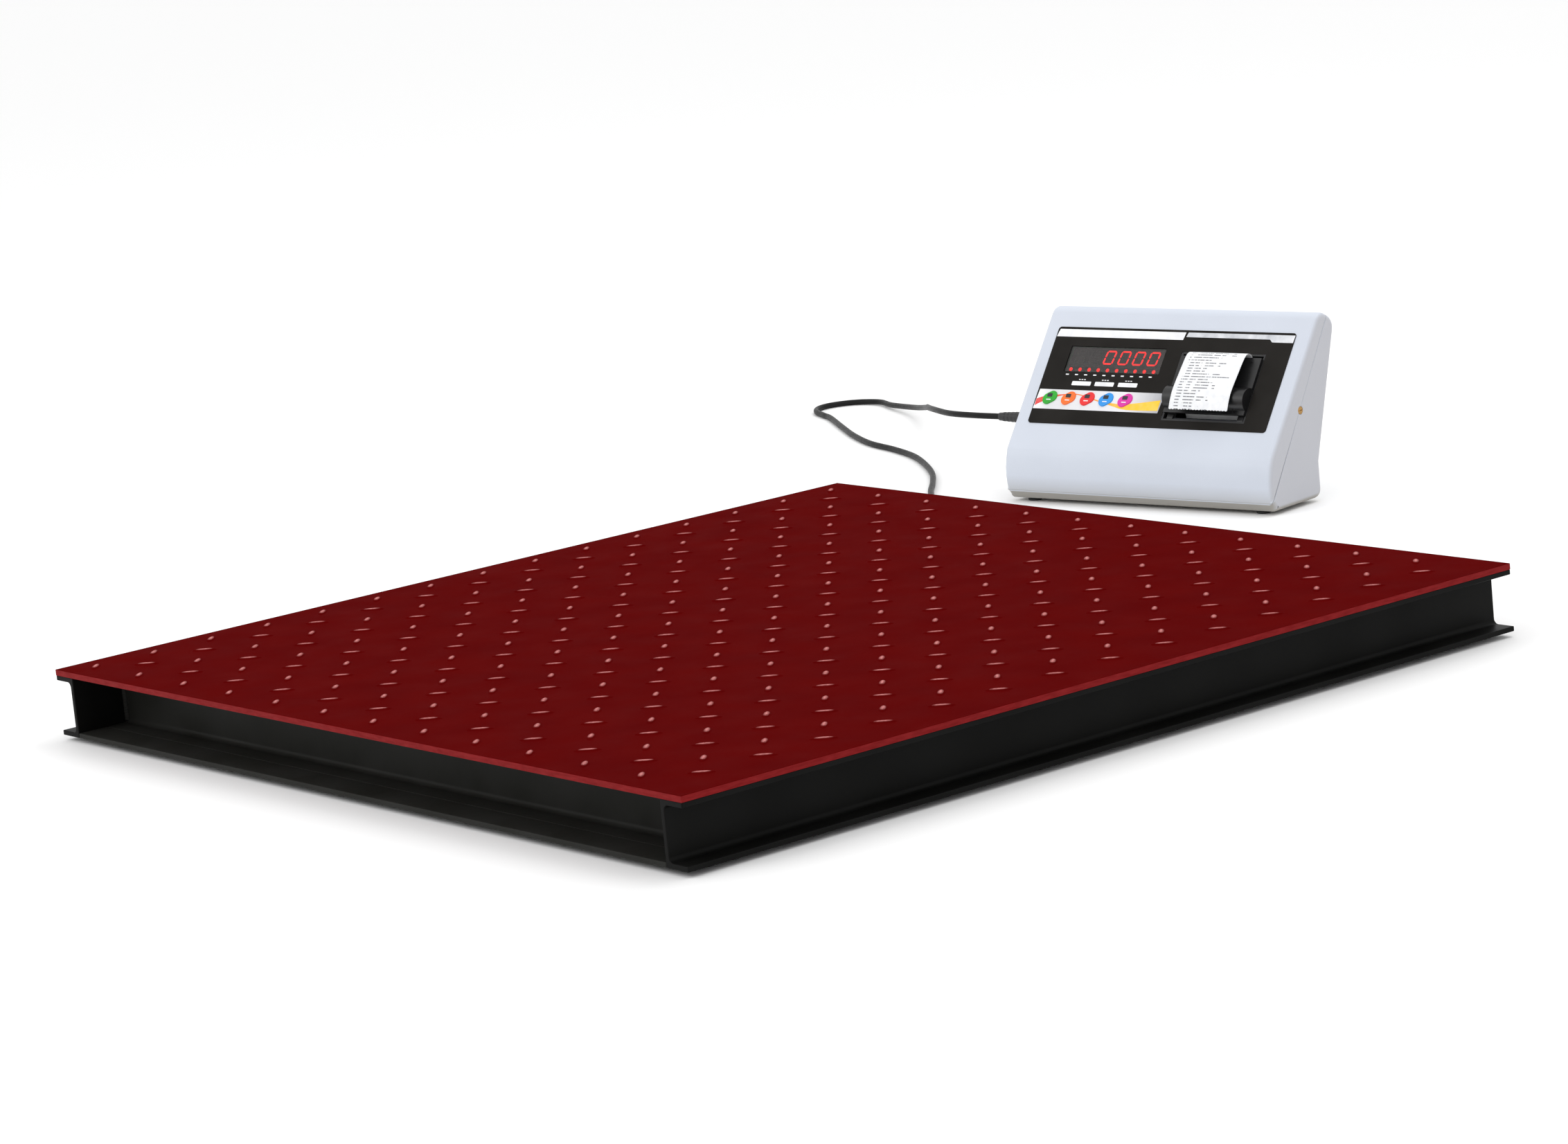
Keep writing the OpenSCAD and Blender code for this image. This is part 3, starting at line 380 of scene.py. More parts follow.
def new_piece(name, vertices, faces, material, body="scale", smooth=True):
    """A mesh piece in the row frame that rides on a body."""
    mesh = bpy.data.meshes.new(name)
    mesh.from_pydata([tuple(v) for v in vertices], [], faces)
    mesh.validate()
    for polygon in mesh.polygons:
        polygon.use_smooth = smooth
    mesh.materials.append(material)
    piece = bpy.data.objects.new(name, mesh)
    bpy.context.scene.collection.objects.link(piece)
    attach(piece, body)
    return piece


def rounded_copy(node, radius_mm, material, segments=2, crease=35, width=None, clamp=True):
    """A copy of a CAD node with its sharp edges rounded, which stands for the node.

    width(edge) gives an edge's own radius in millimetres, where they differ."""
    source = frame["nodes"][node]
    shape = bmesh.new()
    shape.from_mesh(source.data)
    bmesh.ops.remove_doubles(shape, verts=shape.verts, dist=0.04 * MM)
    bmesh.ops.dissolve_limit(
        shape, angle_limit=math.radians(0.5), verts=shape.verts, edges=shape.edges,
        delimit={"NORMAL"})
    weights = shape.edges.layers.float.new("bevel_weight_edge")
    for edge in shape.edges:
        sharp = not edge.is_manifold or edge.calc_face_angle(0) > math.radians(crease)
        radius = (width(edge) if width else radius_mm) if sharp and edge.is_manifold else 0.0
        edge[weights] = radius / radius_mm if radius_mm else 0.0
        edge.smooth = not sharp or radius > 0
    for face in shape.faces:
        face.smooth = True
    mesh = bpy.data.meshes.new(f"{node}_surface")
    shape.to_mesh(mesh)
    shape.free()
    mesh.materials.append(material)
    piece = bpy.data.objects.new(f"{node}_surface", mesh)
    bpy.context.scene.collection.objects.link(piece)
    if radius_mm:
        rounding = piece.modifiers.new("rounding", "BEVEL")
        rounding.limit_method = "WEIGHT"
        rounding.width = radius_mm * MM
        rounding.segments = segments
        rounding.miter_outer = "MITER_ARC"
        rounding.use_clamp_overlap = clamp
    normals = piece.modifiers.new("even_normals", "WEIGHTED_NORMAL")
    normals.keep_sharp = True
    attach(piece, source["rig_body"])
    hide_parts(node)
    return piece


def add_prism(vertices, faces, outline, base, thick):
    """Adds a closed prism over an outline [(x, v), ...] on the face, in millimetres."""
    start, count = len(vertices), len(outline)
    for height in (base, base + thick):
        vertices.extend(on_face(x, v, height) for x, v in outline)
    faces.append([start + i for i in reversed(range(count))])
    faces.append([start + count + i for i in range(count)])
    for i in range(count):
        j = (i + 1) % count
        faces.append([start + i, start + j, start + count + j, start + count + i])


def face_print(name, outline, height_mm, material, uv_width=None, body="scale", thick_mm=0.08):
    """A printed shape on the panel: a thin raised outline [(x, v), ...] in face millimetres."""
    vertices, faces = [], []
    add_prism(vertices, faces, outline, height_mm, thick_mm)
    piece = new_piece(name, vertices, faces, material, body, smooth=False)
    if uv_width:
        layer = piece.data.uv_layers.new(name="strip")
        start = min(x for x, _ in outline)
        for loop in piece.data.loops:
            x = outline[loop.vertex_index % len(outline)][0]
            layer.data[loop.index].uv = ((x - start) / uv_width, 0.5)
    return piece


def round_corners(x0, v0, x1, v1, radius, steps=6):
    """The outline of a rectangle with round corners."""
    points = []
    for cx, cv, start in ((x1 - radius, v1 - radius, 0), (x0 + radius, v1 - radius, 90),
                          (x0 + radius, v0 + radius, 180), (x1 - radius, v0 + radius, 270)):
        for i in range(steps + 1):
            a = math.radians(start + 90 * i / steps)
            points.append((cx + radius * math.cos(a), cv + radius * math.sin(a)))
    return points


def catmull(points, steps):
    """Points on the smooth curve through a route."""
    path = []
    last = len(points) - 1
    for i in range(last):
        a, b, c, d = points[max(i - 1, 0)], points[i], points[i + 1], points[min(i + 2, last)]
        for k in range(steps):
            t = k / steps
            path.append(0.5 * (2 * b + (c - a) * t + (2 * a - 5 * b + 4 * c - d) * t * t
                               + (3 * b - a - 3 * c + d) * t ** 3))
    return path + [points[-1]]


# ---- properties

class PALLETSCALE_PG_sizes(bpy.types.PropertyGroup):
    """Sizes that shape the visible surfaces"""

    lug_length: FloatProperty(
        name="Lug length", description="Length of a deck lug", default=0.026, unit="LENGTH")
    lug_width: FloatProperty(
        name="Lug width", description="Width of a deck lug", default=0.009, unit="LENGTH")
    lug_height: FloatProperty(
        name="Lug height", description="Height of a deck lug", default=0.0015, unit="LENGTH")
    lug_pitch_x: FloatProperty(
        name="Lug pitch X", description="Distance between lugs along X", default=0.080,
        unit="LENGTH")
    lug_pitch_y: FloatProperty(
        name="Lug pitch Y", description="Distance between lugs along Y", default=0.067,
        unit="LENGTH")
    case_rounding: FloatProperty(
        name="Case rounding", description="Radius of the case's side edges", default=0.006,
        unit="LENGTH")
    frame_rounding: FloatProperty(
        name="Frame rounding", description="Radius of the channels' edges", default=0.0009,
        unit="LENGTH")
    cable_diameter: FloatProperty(
        name="Cable diameter", description="Diameter of the cable", default=0.007, unit="LENGTH")
    digit_count: IntProperty(
        name="Digits", description="Digits in the display", default=6, min=1)


class PALLETSCALE_PG_colours(bpy.types.PropertyGroup):
    """Colours that a user would change"""

    floor: FloatVectorProperty(
        name="Floor", description="Colour of the floor", subtype="COLOR", size=4,
        default=colour("#FBFBFB"))
    backdrop: FloatVectorProperty(
        name="Backdrop", description="Colour of the surroundings", subtype="COLOR", size=4,
        default=colour("#FFFFFF"))


# ---- stage

class PALLETSCALE_OT_stage(bpy.types.Operator):
    """Adds the floor, the soft lights and the camera"""

    bl_idname = "pallet_scale.stage"
    bl_label = "Stage"

    def execute(self, context):
        scene = context.scene
        scene.view_settings.view_transform = "Standard"
        camera_data = bpy.data.cameras.new("camera")
        camera_data.sensor_width = 36.0
        camera_data.lens = 115.7
        camera_data.clip_end = 100.0
        camera = bpy.data.objects.new("camera", camera_data)
        scene.collection.objects.link(camera)
        heading, elevation, roll = (math.radians(angle) for angle in (51.93, 11.0, -5.57))
        turn = (Matrix.Rotation(heading, 4, "Z") @ Matrix.Rotation(math.pi / 2 - elevation, 4, "X")
                @ Matrix.Rotation(roll, 4, "Z"))
        camera.matrix_world = Matrix.Translation(on_platform(3754, -2918, 1038)) @ turn
        scene.camera = camera

        world = bpy.data.worlds.new("studio")
        world.use_nodes = True
        background = world.node_tree.nodes["Background"]
        background.inputs["Color"].default_value = context.scene.scale_colours.backdrop
        background.inputs["Strength"].default_value = 1.0
        scene.world = world
        self.add_light("key", (-1.6, -4.2, 3.2), 2.5, 60)
        self.add_light("top", (0.4, 1.6, 3.2), 2.0, 25)
        self.add_floor(context)
        return {"FINISHED"}

    def add_light(self, name, place, size, power):
        """A square soft light that faces the middle of the platform."""
        data = bpy.data.lights.new(name, "AREA")
        data.size = size
        data.energy = power
        light = bpy.data.objects.new(name, data)
        light.location = PLATFORM + Vector(place)
        light.rotation_euler = (PLATFORM - light.location).to_track_quat("-Z", "Y").to_euler()
        bpy.context.scene.collection.objects.link(light)

    def add_floor(self, context):
        """A pale floor, large enough to fill every view."""
        material, tree = start("floor_paint")
        finish(material, add(tree, "ShaderNodeBsdfPrincipled", {
            "Base Color": context.scene.scale_colours.floor, "Roughness": 0.7}))
        half, drop = 30.0, 0.2 * MM
        corners = [(-half, -half), (half, -half), (half, half), (-half, half)]
        mesh = bpy.data.meshes.new("floor")
        mesh.from_pydata([(x, y, -drop) for x, y in corners], [], [(0, 1, 2, 3)])
        mesh.materials.append(material)
        floor = bpy.data.objects.new("floor", mesh)
        context.scene.collection.objects.link(floor)


# ---- cable

# The cable's route from the terminal's gland to the platform's, from the platform's centre.
CABLE_ROUTE = [
    (-581, 814, 84), (-620, 807, 84), (-665, 809, 83), (-725, 836, 79), (-800, 890, 67),
    (-890, 965, 48), (-985, 1040, 28), (-1070, 1094, 13), (-1150, 1124, 5.5),
    (-1188, 1138, 4.4), (-1216, 1134, 3.8), (-1235, 1119, 3.6), (-1244, 1096, 3.6),
    (-1239, 1074, 3.6), (-1221, 1057, 3.6), (-1190, 1044, 3.6), (-1165, 1034, 3.6),
    (-1095, 995, 3.6), (-1030, 960, 3.6), (-965, 932, 3.6), (-900, 916, 3.6),
    (-840, 895, 3.6), (-780, 862, 3.6), (-725, 825, 3.6), (-677, 784, 3.6),
    (-635, 745, 3.6), (-575, 700, 3.6), (-490, 660, 3.6), (-390, 635, 3.6),
    (-290, 622, 3.6), (-205, 608, 5), (-150, 575, 12), (-132, 530, 26), (-130, 495, 37),
    (-130, 461, 40)]


class PALLETSCALE_OT_cable(bpy.types.Operator):
    """Lays the cable along its route and finishes the gland that it leaves"""

    bl_idname = "pallet_scale.cable"
    bl_label = "Cable"

    def execute(self, context):
        diameter = context.scene.scale_sizes.cable_diameter
        path = catmull([on_platform(*p) for p in CABLE_ROUTE], 8)
        curve = bpy.data.curves.new("signal_cable", "CURVE")
        curve.dimensions = "3D"
        curve.bevel_depth = diameter / 2
        curve.bevel_resolution = 5
        spline = curve.splines.new("POLY")
        spline.points.add(len(path) - 1)
        for point, place in zip(spline.points, path):
            point.co = (*place, 1)
        spline.use_smooth = True
        curve.materials.append(cable_pvc())
        cable = bpy.data.objects.new("signal_cable", curve)
        context.scene.collection.objects.link(cable)
        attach(cable, "scale")
        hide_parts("cable")
        gland = rounded_copy("terminal_gland", 0.4, moulded_plastic("gland_nylon", "#1B1B1C", 0.4))
        return {"FINISHED"}


# ---- platform

class PALLETSCALE_OT_deck(bpy.types.Operator):
    """Builds the chequer plate deck with smooth domed lugs"""

    bl_idname = "pallet_scale.deck"
    bl_label = "Deck"

    def execute(self, context):
        sizes = context.scene.scale_sizes
        plate_top = DECK_HIGH.z - sizes.lug_height
        vertices, faces, crest = [], [], []
        self.add_plate(vertices, faces, crest, plate_top)
        self.add_lugs(vertices, faces, crest, plate_top, sizes)
        deck = new_piece("deck_surface", vertices, faces, deck_enamel(), smooth=True)
        deck.data.materials.append(deck_edge_enamel())
        for polygon in deck.data.polygons[:5]:
            polygon.use_smooth = False
        for polygon in deck.data.polygons[1:5]:
            polygon.material_index = 1
        # The crest mask pales the lug tops: part wear, part painted highlight.
        attribute = deck.data.attributes.new("crest", "FLOAT", "POINT")
        attribute.data.foreach_set("value", crest)
        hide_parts("deck_plate")
        return {"FINISHED"}

    def add_plate(self, vertices, faces, crest, top):
        """The plate's top, four edges with a small sheared chamfer and underside."""
        low, high, chamfer = DECK_LOW, DECK_HIGH, 0.4 * MM
        rings = [(0.0, low.z), (0.0, top - chamfer), (chamfer, top)]
        for inset, z in rings:
            for x, y in ((low.x + inset, low.y + inset), (high.x - inset, low.y + inset),
                         (high.x - inset, high.y - inset), (low.x + inset, high.y - inset)):
                vertices.append((x, y, z))
                crest.append(0.0)
        faces.append([8, 9, 10, 11])
        faces.extend([[i, (i + 1) % 4, 4 + (i + 1) % 4, 4 + i] for i in range(4)])
        faces.extend([[4 + i, 4 + (i + 1) % 4, 8 + (i + 1) % 4, 8 + i] for i in range(4)])
        faces.append([3, 2, 1, 0])

    def add_lugs(self, vertices, faces, crest, top, sizes):
        """Lugs in two interleaved grids, one grid across the other."""
        half_x, half_y = (DECK_HIGH.x - DECK_LOW.x) / 2, (DECK_HIGH.y - DECK_LOW.y) / 2
        margin_x, margin_y, slack = 0.030, 0.028, 1e-6
        start_x, start_y = -half_x + margin_x, -half_y + margin_y
        for grid, angle in enumerate((135, 45)):
            x = start_x + grid * sizes.lug_pitch_x / 2
            while x <= half_x - sizes.lug_length / 2 + slack:
                y = start_y + grid * sizes.lug_pitch_y / 2
                while y <= -start_y + slack:
                    self.add_lug(vertices, faces, crest, PLATFORM + Vector((x, y, top)),
                                 math.radians(angle), sizes)
                    y += sizes.lug_pitch_y
                x += sizes.lug_pitch_x

    def add_lug(self, vertices, faces, crest, middle, angle, sizes, along=12, across=6):
        """One lug: a lens in plan that rises steeply to a rounded crest."""
        start = len(vertices)
        length, width, height = sizes.lug_length, sizes.lug_width, sizes.lug_height
        bow = (length ** 2 + width ** 2) / 4 / width
        for i in range(along + 1):
            t = -1 + 2 * i / along
            s = t * length / 2
            reach = math.sqrt(max(bow ** 2 - s ** 2, 0)) - (bow - width / 2)
            for j in range(across + 1):
                u = -1 + 2 * j / across
                rise = (1 - abs(u) ** 2.4) * (1 - abs(t) ** 3.5)
                side = u * max(reach, 0)
                x = s * math.cos(angle) - side * math.sin(angle)
                y = s * math.sin(angle) + side * math.cos(angle)
                z = height * rise - (0.05 * MM if rise < 0.01 else 0)
                vertices.append(middle + Vector((x, y, z)))
                crest.append(max(0.0, (rise - 0.80) / 0.20))
        row = across + 1
        for i in range(along):
            for j in range(across):
                a = start + i * row + j
                faces.append([a, a + row, a + row + 1, a + 1])


class PALLETSCALE_OT_platform_frame(bpy.types.Operator):
    """Finishes the black frame under the deck, with its weld beads"""

    bl_idname = "pallet_scale.platform_frame"
    bl_label = "Platform frame"

    def execute(self, context):
        enamel = frame_enamel("frame_enamel", "#22221F", "#2B2B29")
        # The side channels take a darker copy of the same black enamel: painted shade on the faces
        # that look away from the key light.
        shaded_side_enamel = frame_enamel("side_channel_shaded_enamel", "#0B0B0A", "#121211")
        radius = context.scene.scale_sizes.frame_rounding / MM
        for node in ("side_channel_left", "side_channel_right", "end_channel_front",
                     "end_channel_rear", "tie_bars", "deck_ribs", "cell_blocks"):
            # The darker, shaded copy goes on the side channels; the rest take the plain enamel.
            paint = shaded_side_enamel if node.startswith("side") else enamel
            rounded_copy(node, radius, paint, segments=3, crease=50)
        self.add_welds(enamel)
        return {"FINISHED"}

    def add_welds(self, enamel):
        """Rippled fillet welds where the end channels meet the side channels' webs."""
        flange, end_web, gap = 30, 443, 6
        web_x = (DECK_HIGH.x - DECK_LOW.x) / 2 / MM - flange
        low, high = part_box("end_channel_front")
        for side, hand in ((-1, "left"), (1, "right")):
            for end, place in ((-1, "front"), (1, "rear")):
                foot = Vector((side * web_x, end_web * end, low.z / MM + gap))
                head = Vector((side * web_x, end_web * end, high.z / MM - gap))
                self.add_bead(f"weld_{hand}_{place}", foot, head, Vector((-side, 0, 0)),
                              Vector((0, end, 0)), enamel)

    def add_bead(self, name, foot, head, first, second, enamel, size=4.0, ripple=2.6):
        """A fillet bead whose quarter-round section swells at every ripple."""
        length = (head - foot).length
        steps = int(length / ripple * 3)
        sides = 6
        vertices = []
        for i in range(steps + 1):
            t = i / steps
            centre = foot.lerp(head, t)
            swell = size * (0.86 + 0.14 * abs(math.sin(math.pi * length * t / ripple)))
            if i in (0, steps):
                swell *= 0.4
            for k in range(sides + 1):
                a = math.pi / 2 * k / sides
                offset = first * math.cos(a) * swell + second * math.sin(a) * swell
                vertices.append(on_platform(*(centre + offset * 0.9)))
        row = sides + 1
        faces = [[i * row + k, (i + 1) * row + k, (i + 1) * row + k + 1, i * row + k + 1]
                 for i in range(steps) for k in range(sides)]
        bead = new_piece(name, vertices, faces, enamel)


class PALLETSCALE_OT_cells_and_feet(bpy.types.Operator):
    """Finishes load cells, bolts, feet and the junction box under the deck"""

    bl_idname = "pallet_scale.cells_and_feet"
    bl_label = "Load cells and feet"

    def execute(self, context):
        nickel = plated_metal("nickel_plate", "#C4C2BA", 0.32)
        zinc = plated_metal("zinc_plate", "#B9BCC0", 0.36)
        pad_rubber = rubber("foot_rubber")
        for corner in ("front_left", "front_right", "rear_left", "rear_right"):
            rounded_copy(f"load_cell_{corner}", 0.6, nickel)
            rounded_copy(f"foot_stem_{corner}", 0.3, zinc)
            rounded_copy(f"foot_pad_{corner}", 0.8, pad_rubber, segments=3)
        for node in ("load_cell_bolts", "foot_locknuts", "junction_box_screws"):
            rounded_copy(node, 0.3, zinc)
        box_paint = moulded_plastic("box_paint", "#5E6165", 0.5, 2.0, 0.05)
        rounded_copy("junction_box", 1.0, box_paint)
        rounded_copy("junction_box_lid", 0.8, box_paint)
        rounded_copy("junction_board", 0.1, circuit_laminate())
        nylon = moulded_plastic("box_gland_nylon", "#1C1C1D", 0.4)
        rounded_copy("junction_glands", 0.3, nylon)
        rounded_copy("platform_gland", 0.4, nylon)
        rounded_copy("inner_leads", 0, moulded_plastic("lead_pvc", "#1A1A1A", 0.45))
        return {"FINISHED"}


# ---- terminal case

def terminal_point(x, y, z):
    """A point in the terminal's own frame: x across, y back and z up, in millimetres."""
    corner = FACE_ORIGIN.copy()
    corner.z = 0
    return corner + (ACROSS * x + BACK * y + RISE * z) * MM


class PALLETSCALE_OT_case(bpy.types.Operator):
    """Rounds and finishes the terminal's moulded case, screws and rubber feet"""

    bl_idname = "pallet_scale.case"
    bl_label = "Case"

    def execute(self, context):
        self.radius = context.scene.scale_sizes.case_rounding / MM
        plastic = case_plastic()
        for node in ("front_cover", "rear_tub"):
            rounded_copy(node, self.radius, plastic, 5, width=self.edge_width, clamp=False)
        rounded_copy("case_screws", 0.3, plated_metal("brass_plate", "#B08A55", 0.38))
        rounded_copy("case_feet", 1.0, rubber("case_foot_rubber"), 3)
        return {"FINISHED"}

    def edge_width(self, edge):
        """Wide rounding round the case's sides, narrow along the seam, the least elsewhere."""
        middle = (edge.verts[0].co + edge.verts[1].co) / 2
        # The side screw's hole and the cable gland's hole keep their edges: y, z and reach.
        for y, z, reach in ((60, 106, 6), (62, 84, 9.5)):
            away = middle - terminal_point(0, y, z)
            if (away - ACROSS * away.dot(ACROSS)).length < reach * MM:
                return 0.0
        near, seam_rounding, width = 0.1 * MM, 1.4, CASE_WIDTH * MM
        normals = [face.normal for face in edge.link_faces]
        from_seam = (middle - terminal_point(0, -4, 13)).dot(SEAM_NORMAL)
        on_seam = abs(from_seam) < near and any(
            abs(normal.dot(SEAM_NORMAL)) > 0.999 for normal in normals)
        sideways = [abs(normal.dot(ACROSS)) > 0.99 for normal in normals]
        across = (middle - FACE_ORIGIN).dot(ACROSS)
        outside = min(abs(across), abs(across - width)) < near
        depth = (middle - FACE_ORIGIN).dot(OUT)
        if on_seam:
            inner = (min(across, width - across) > 1 * MM and depth < -8 * MM
                     and 30 * MM < middle.z < 190 * MM)
            return 0.0 if inner else seam_rounding
        if outside and sideways[0] != sideways[1]:
            return self.radius
        return 0.0


class PALLETSCALE_OT_back_fittings(bpy.types.Operator):
    """Finishes the mains inlet, power switch, battery and supply"""

    bl_idname = "pallet_scale.back_fittings"
    bl_label = "Power fittings"

    def execute(self, context):
        black = moulded_plastic("fitting_black", "#161617", 0.38)
        rounded_copy("mains_inlet", 0.5, black)
        rounded_copy("power_switch", 0.5, black)
        rounded_copy("power_rocker", 0.4, moulded_plastic("rocker_black", "#101011", 0.28))
        rounded_copy("battery", 1.5, moulded_plastic("battery_case", "#3B3D42", 0.5))
        rounded_copy("power_supply", 0.2, circuit_laminate())
        return {"FINISHED"}


# ---- panel and display

class PALLETSCALE_OT_panel(bpy.types.Operator):
    """Adds the black panel film with its printed bars, stripes and marks"""

    bl_idname = "pallet_scale.panel"
    bl_label = "Front panel"

    def execute(self, context):
        rounded_copy("front_panel", 0.15, panel_film())
        silver = printed_ink("silver_ink", "#B9BCC2", "#E6E8EC")
        white = printed_ink("white_ink", "#E4E5E8", "#F2F3F5")
        top = 0.8
        brand = [(21, 141.5), (199.4, 141.5), (200.8, 151), (23, 151)]
        face_print("blank_name_bar", brand, top, white)
        stripe = [(202.6, 145.3), (317, 145.3), (321, 141.8), (349, 141.8), (349.4, 151),
                  (204.2, 151)]
        face_print("silver_stripe", stripe, top, silver)
        strip = strip_ink("keypad_silver", [
            (0.0, "#F4F4F6"), (0.12, "#D9DADE"), (0.7, "#E7E7EA"), (1.0, "#A9AAB0")])
        outline = [(21, 50), (197, 50), (199, 74.6), (22.5, 74.6)]
        face_print("keypad_strip", outline, top, strip, uv_width=178)
        self.add_swoosh(top + INK_THICK)
        self.add_labels(top, white)
        return {"FINISHED"}

    def add_swoosh(self, height):
        """A brush stroke of ink along the strip: red, a thin orange line, a yellow wedge."""
        ink = strip_ink("swoosh_ink", [
            (0.0, "#E01818"), (0.16, "#E8401C"), (0.45, "#F59018"), (0.7, "#FFC212"),
            (1.0, "#FFCC18")])
        # Across, up and half width of the stroke, in millimetres.
        strokes = [(22, 58, 4.2), (34, 63, 3.0), (57, 68, 0.8), (79, 69.2, 0.6), (109, 62.3, 0.8),
                   (130, 58.4, 1.6), (152, 56.1, 3.6), (196, 59.4, 6.6)]
        upper, lower = [], []
        for x, v, half in catmull([Vector(stroke) for stroke in strokes], 6):
            upper.append((x, min(v + half, 73.8)))
            lower.append((x, max(v - half, 50.8)))
        face_print("colour_swoosh", lower + upper[::-1], height, ink, uv_width=174)

    def add_labels(self, height, white):
        """Three blank labels and the small marks above them and under each lamp."""
        for i, x in enumerate((78, 110.5, 143.4)):
            outline = round_corners(x - 13.4, 80.6, x + 13.4, 85.8, 1.0)
            face_print(f"blank_label_{i + 1}", outline, height, white)
            for k in range(3):
                mark = round_corners(x - 5 + k * 3.6, 87.6, x - 2.6 + k * 3.6, 88.6, 0.3, 3)
                face_print(f"label_mark_{i + 1}_{k + 1}", mark, height, white)
        for i in range(LAMP_COUNT):
            x = LAMP_ACROSS + LAMP_PITCH * i
            mark = round_corners(x - 2.2, 93.4, x + 2.2, 94.8, 0.4, 3)
            face_print(f"lamp_mark_{i + 1}", mark, height, white)


class PALLETSCALE_OT_display(bpy.types.Operator):
    """Adds the digits, the lamps and the window in front of them"""

    bl_idname = "pallet_scale.display"
    bl_label = "Display"

    def execute(self, context):
        rounded_copy("display_module", 0.3, moulded_plastic("display_potting", "#141211", 0.6))
        rounded_copy("control_board", 0.1, circuit_laminate())
        rounded_copy("display_window", 0.15, smoked_window())
        self.add_digits(context.scene.scale_sizes.digit_count)
        self.add_lamps()
        return {"FINISHED"}

    def add_digits(self, count):
        """Seven-bar digits: the first two are off, the others show 0."""
        lit = lit_diode("digit_lit", "#E01010", "#FF0A06", 2.2)
        off = lit_diode("digit_off", "#0B0808", "#000000", 0.0)
        width, height, bar = 14.0, 17.4, 1.8
        lean = math.tan(math.radians(8))
        half = height / 2
        flats = [bar / 2, half, height - bar / 2]
        for i in range(count):
            x0 = DIGIT_ACROSS + DIGIT_PITCH * i
            shown = range(7) if i < 2 else (0, 2, 3, 4, 5, 6)
            vertices, faces = [], []
            for k in shown:
                if k < 3:
                    ends = ((bar * 0.75, flats[k]), (width - bar * 0.75, flats[k]))
                else:
                    x = bar / 2 if k < 5 else width - bar / 2
                    low, high = (0, 1) if k % 2 else (1, 2)
                    ends = ((x, flats[low] + bar * 0.25), (x, flats[high] - bar * 0.25))
                outline = self.bar_outline(*ends, bar / 2, flat=k < 3)
                add_prism(vertices, faces, [
                    (x0 + x + lean * v, DIGIT_UP + v) for x, v in outline],
                    DIGIT_BASE, DIGIT_THICK)
            if i < 2:
                self.add_dot(vertices, faces, x0 + width + 2.6, DIGIT_UP + bar / 2)
            piece = new_piece(
                f"digit_{i + 1}", vertices, faces, off if i < 2 else lit, smooth=False)
            if i == 0:
                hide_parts("display_segments")

    def bar_outline(self, low, high, h, flat):
        """A bar with pointed ends from low to high, lying flat or upright; h is half its width."""
        (ax, av), (bx, bv) = low, high
        if flat:
            return [(ax, av), (ax + h, av - h), (bx - h, bv - h), (bx, bv), (bx - h, bv + h),
                    (ax + h, av + h)]
        return [(ax, av), (ax + h, av + h), (bx + h, bv - h), (bx, bv), (bx - h, bv - h),
                (ax - h, av + h)]

    def add_dot(self, vertices, faces, x, v, radius=1.1, sides=16):
        """A round decimal point."""
        turn = 2 * math.pi / sides
        outline = [(x + radius * math.cos(k * turn), v + radius * math.sin(k * turn))
                   for k in range(sides)]
        add_prism(vertices, faces, outline, DIGIT_BASE, DIGIT_THICK)

    def add_lamps(self):
        """Ten round lamps with domed tops, joined in one piece."""
        lit = lit_diode("lamp_lit", "#E01818", "#FF1008", 1.8)
        vertices, faces = [], []
        # Radius and height of the barrel and the dome above it; the dome starts at glow_from.
        profile = [(1.5, -9.5), (1.5, -3.3), (2.3, -3.1), (2.3, -2.8), (1.9, -2.45),
                   (1.1, -2.26), (0.0, -2.2)]
        sides, glow_from = 16, -3.15
        for i in range(LAMP_COUNT):
            start = len(vertices)
            for r, n in profile:
                for k in range(sides):
                    a = 2 * math.pi * k / sides
                    vertices.append(on_face(LAMP_ACROSS + LAMP_PITCH * i + r * math.cos(a),
                                            LAMP_UP + r * math.sin(a), n))
            for p in range(len(profile) - 1):
                for k in range(sides):
                    j = (k + 1) % sides
                    faces.append([start + p * sides + k, start + p * sides + j,
                                  start + (p + 1) * sides + j, start + (p + 1) * sides + k])
            faces.append([start + k for k in reversed(range(sides))])
        piece = new_piece("lamps_lit", vertices, faces, lit)
        piece.data.materials.append(moulded_plastic("lamp_barrel", "#1A1716", 0.5))
        for polygon in piece.data.polygons:
            depth = (polygon.center - FACE_ORIGIN).dot(OUT)
            polygon.material_index = 1 if depth < glow_from * MM else 0
        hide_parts("status_lamps")


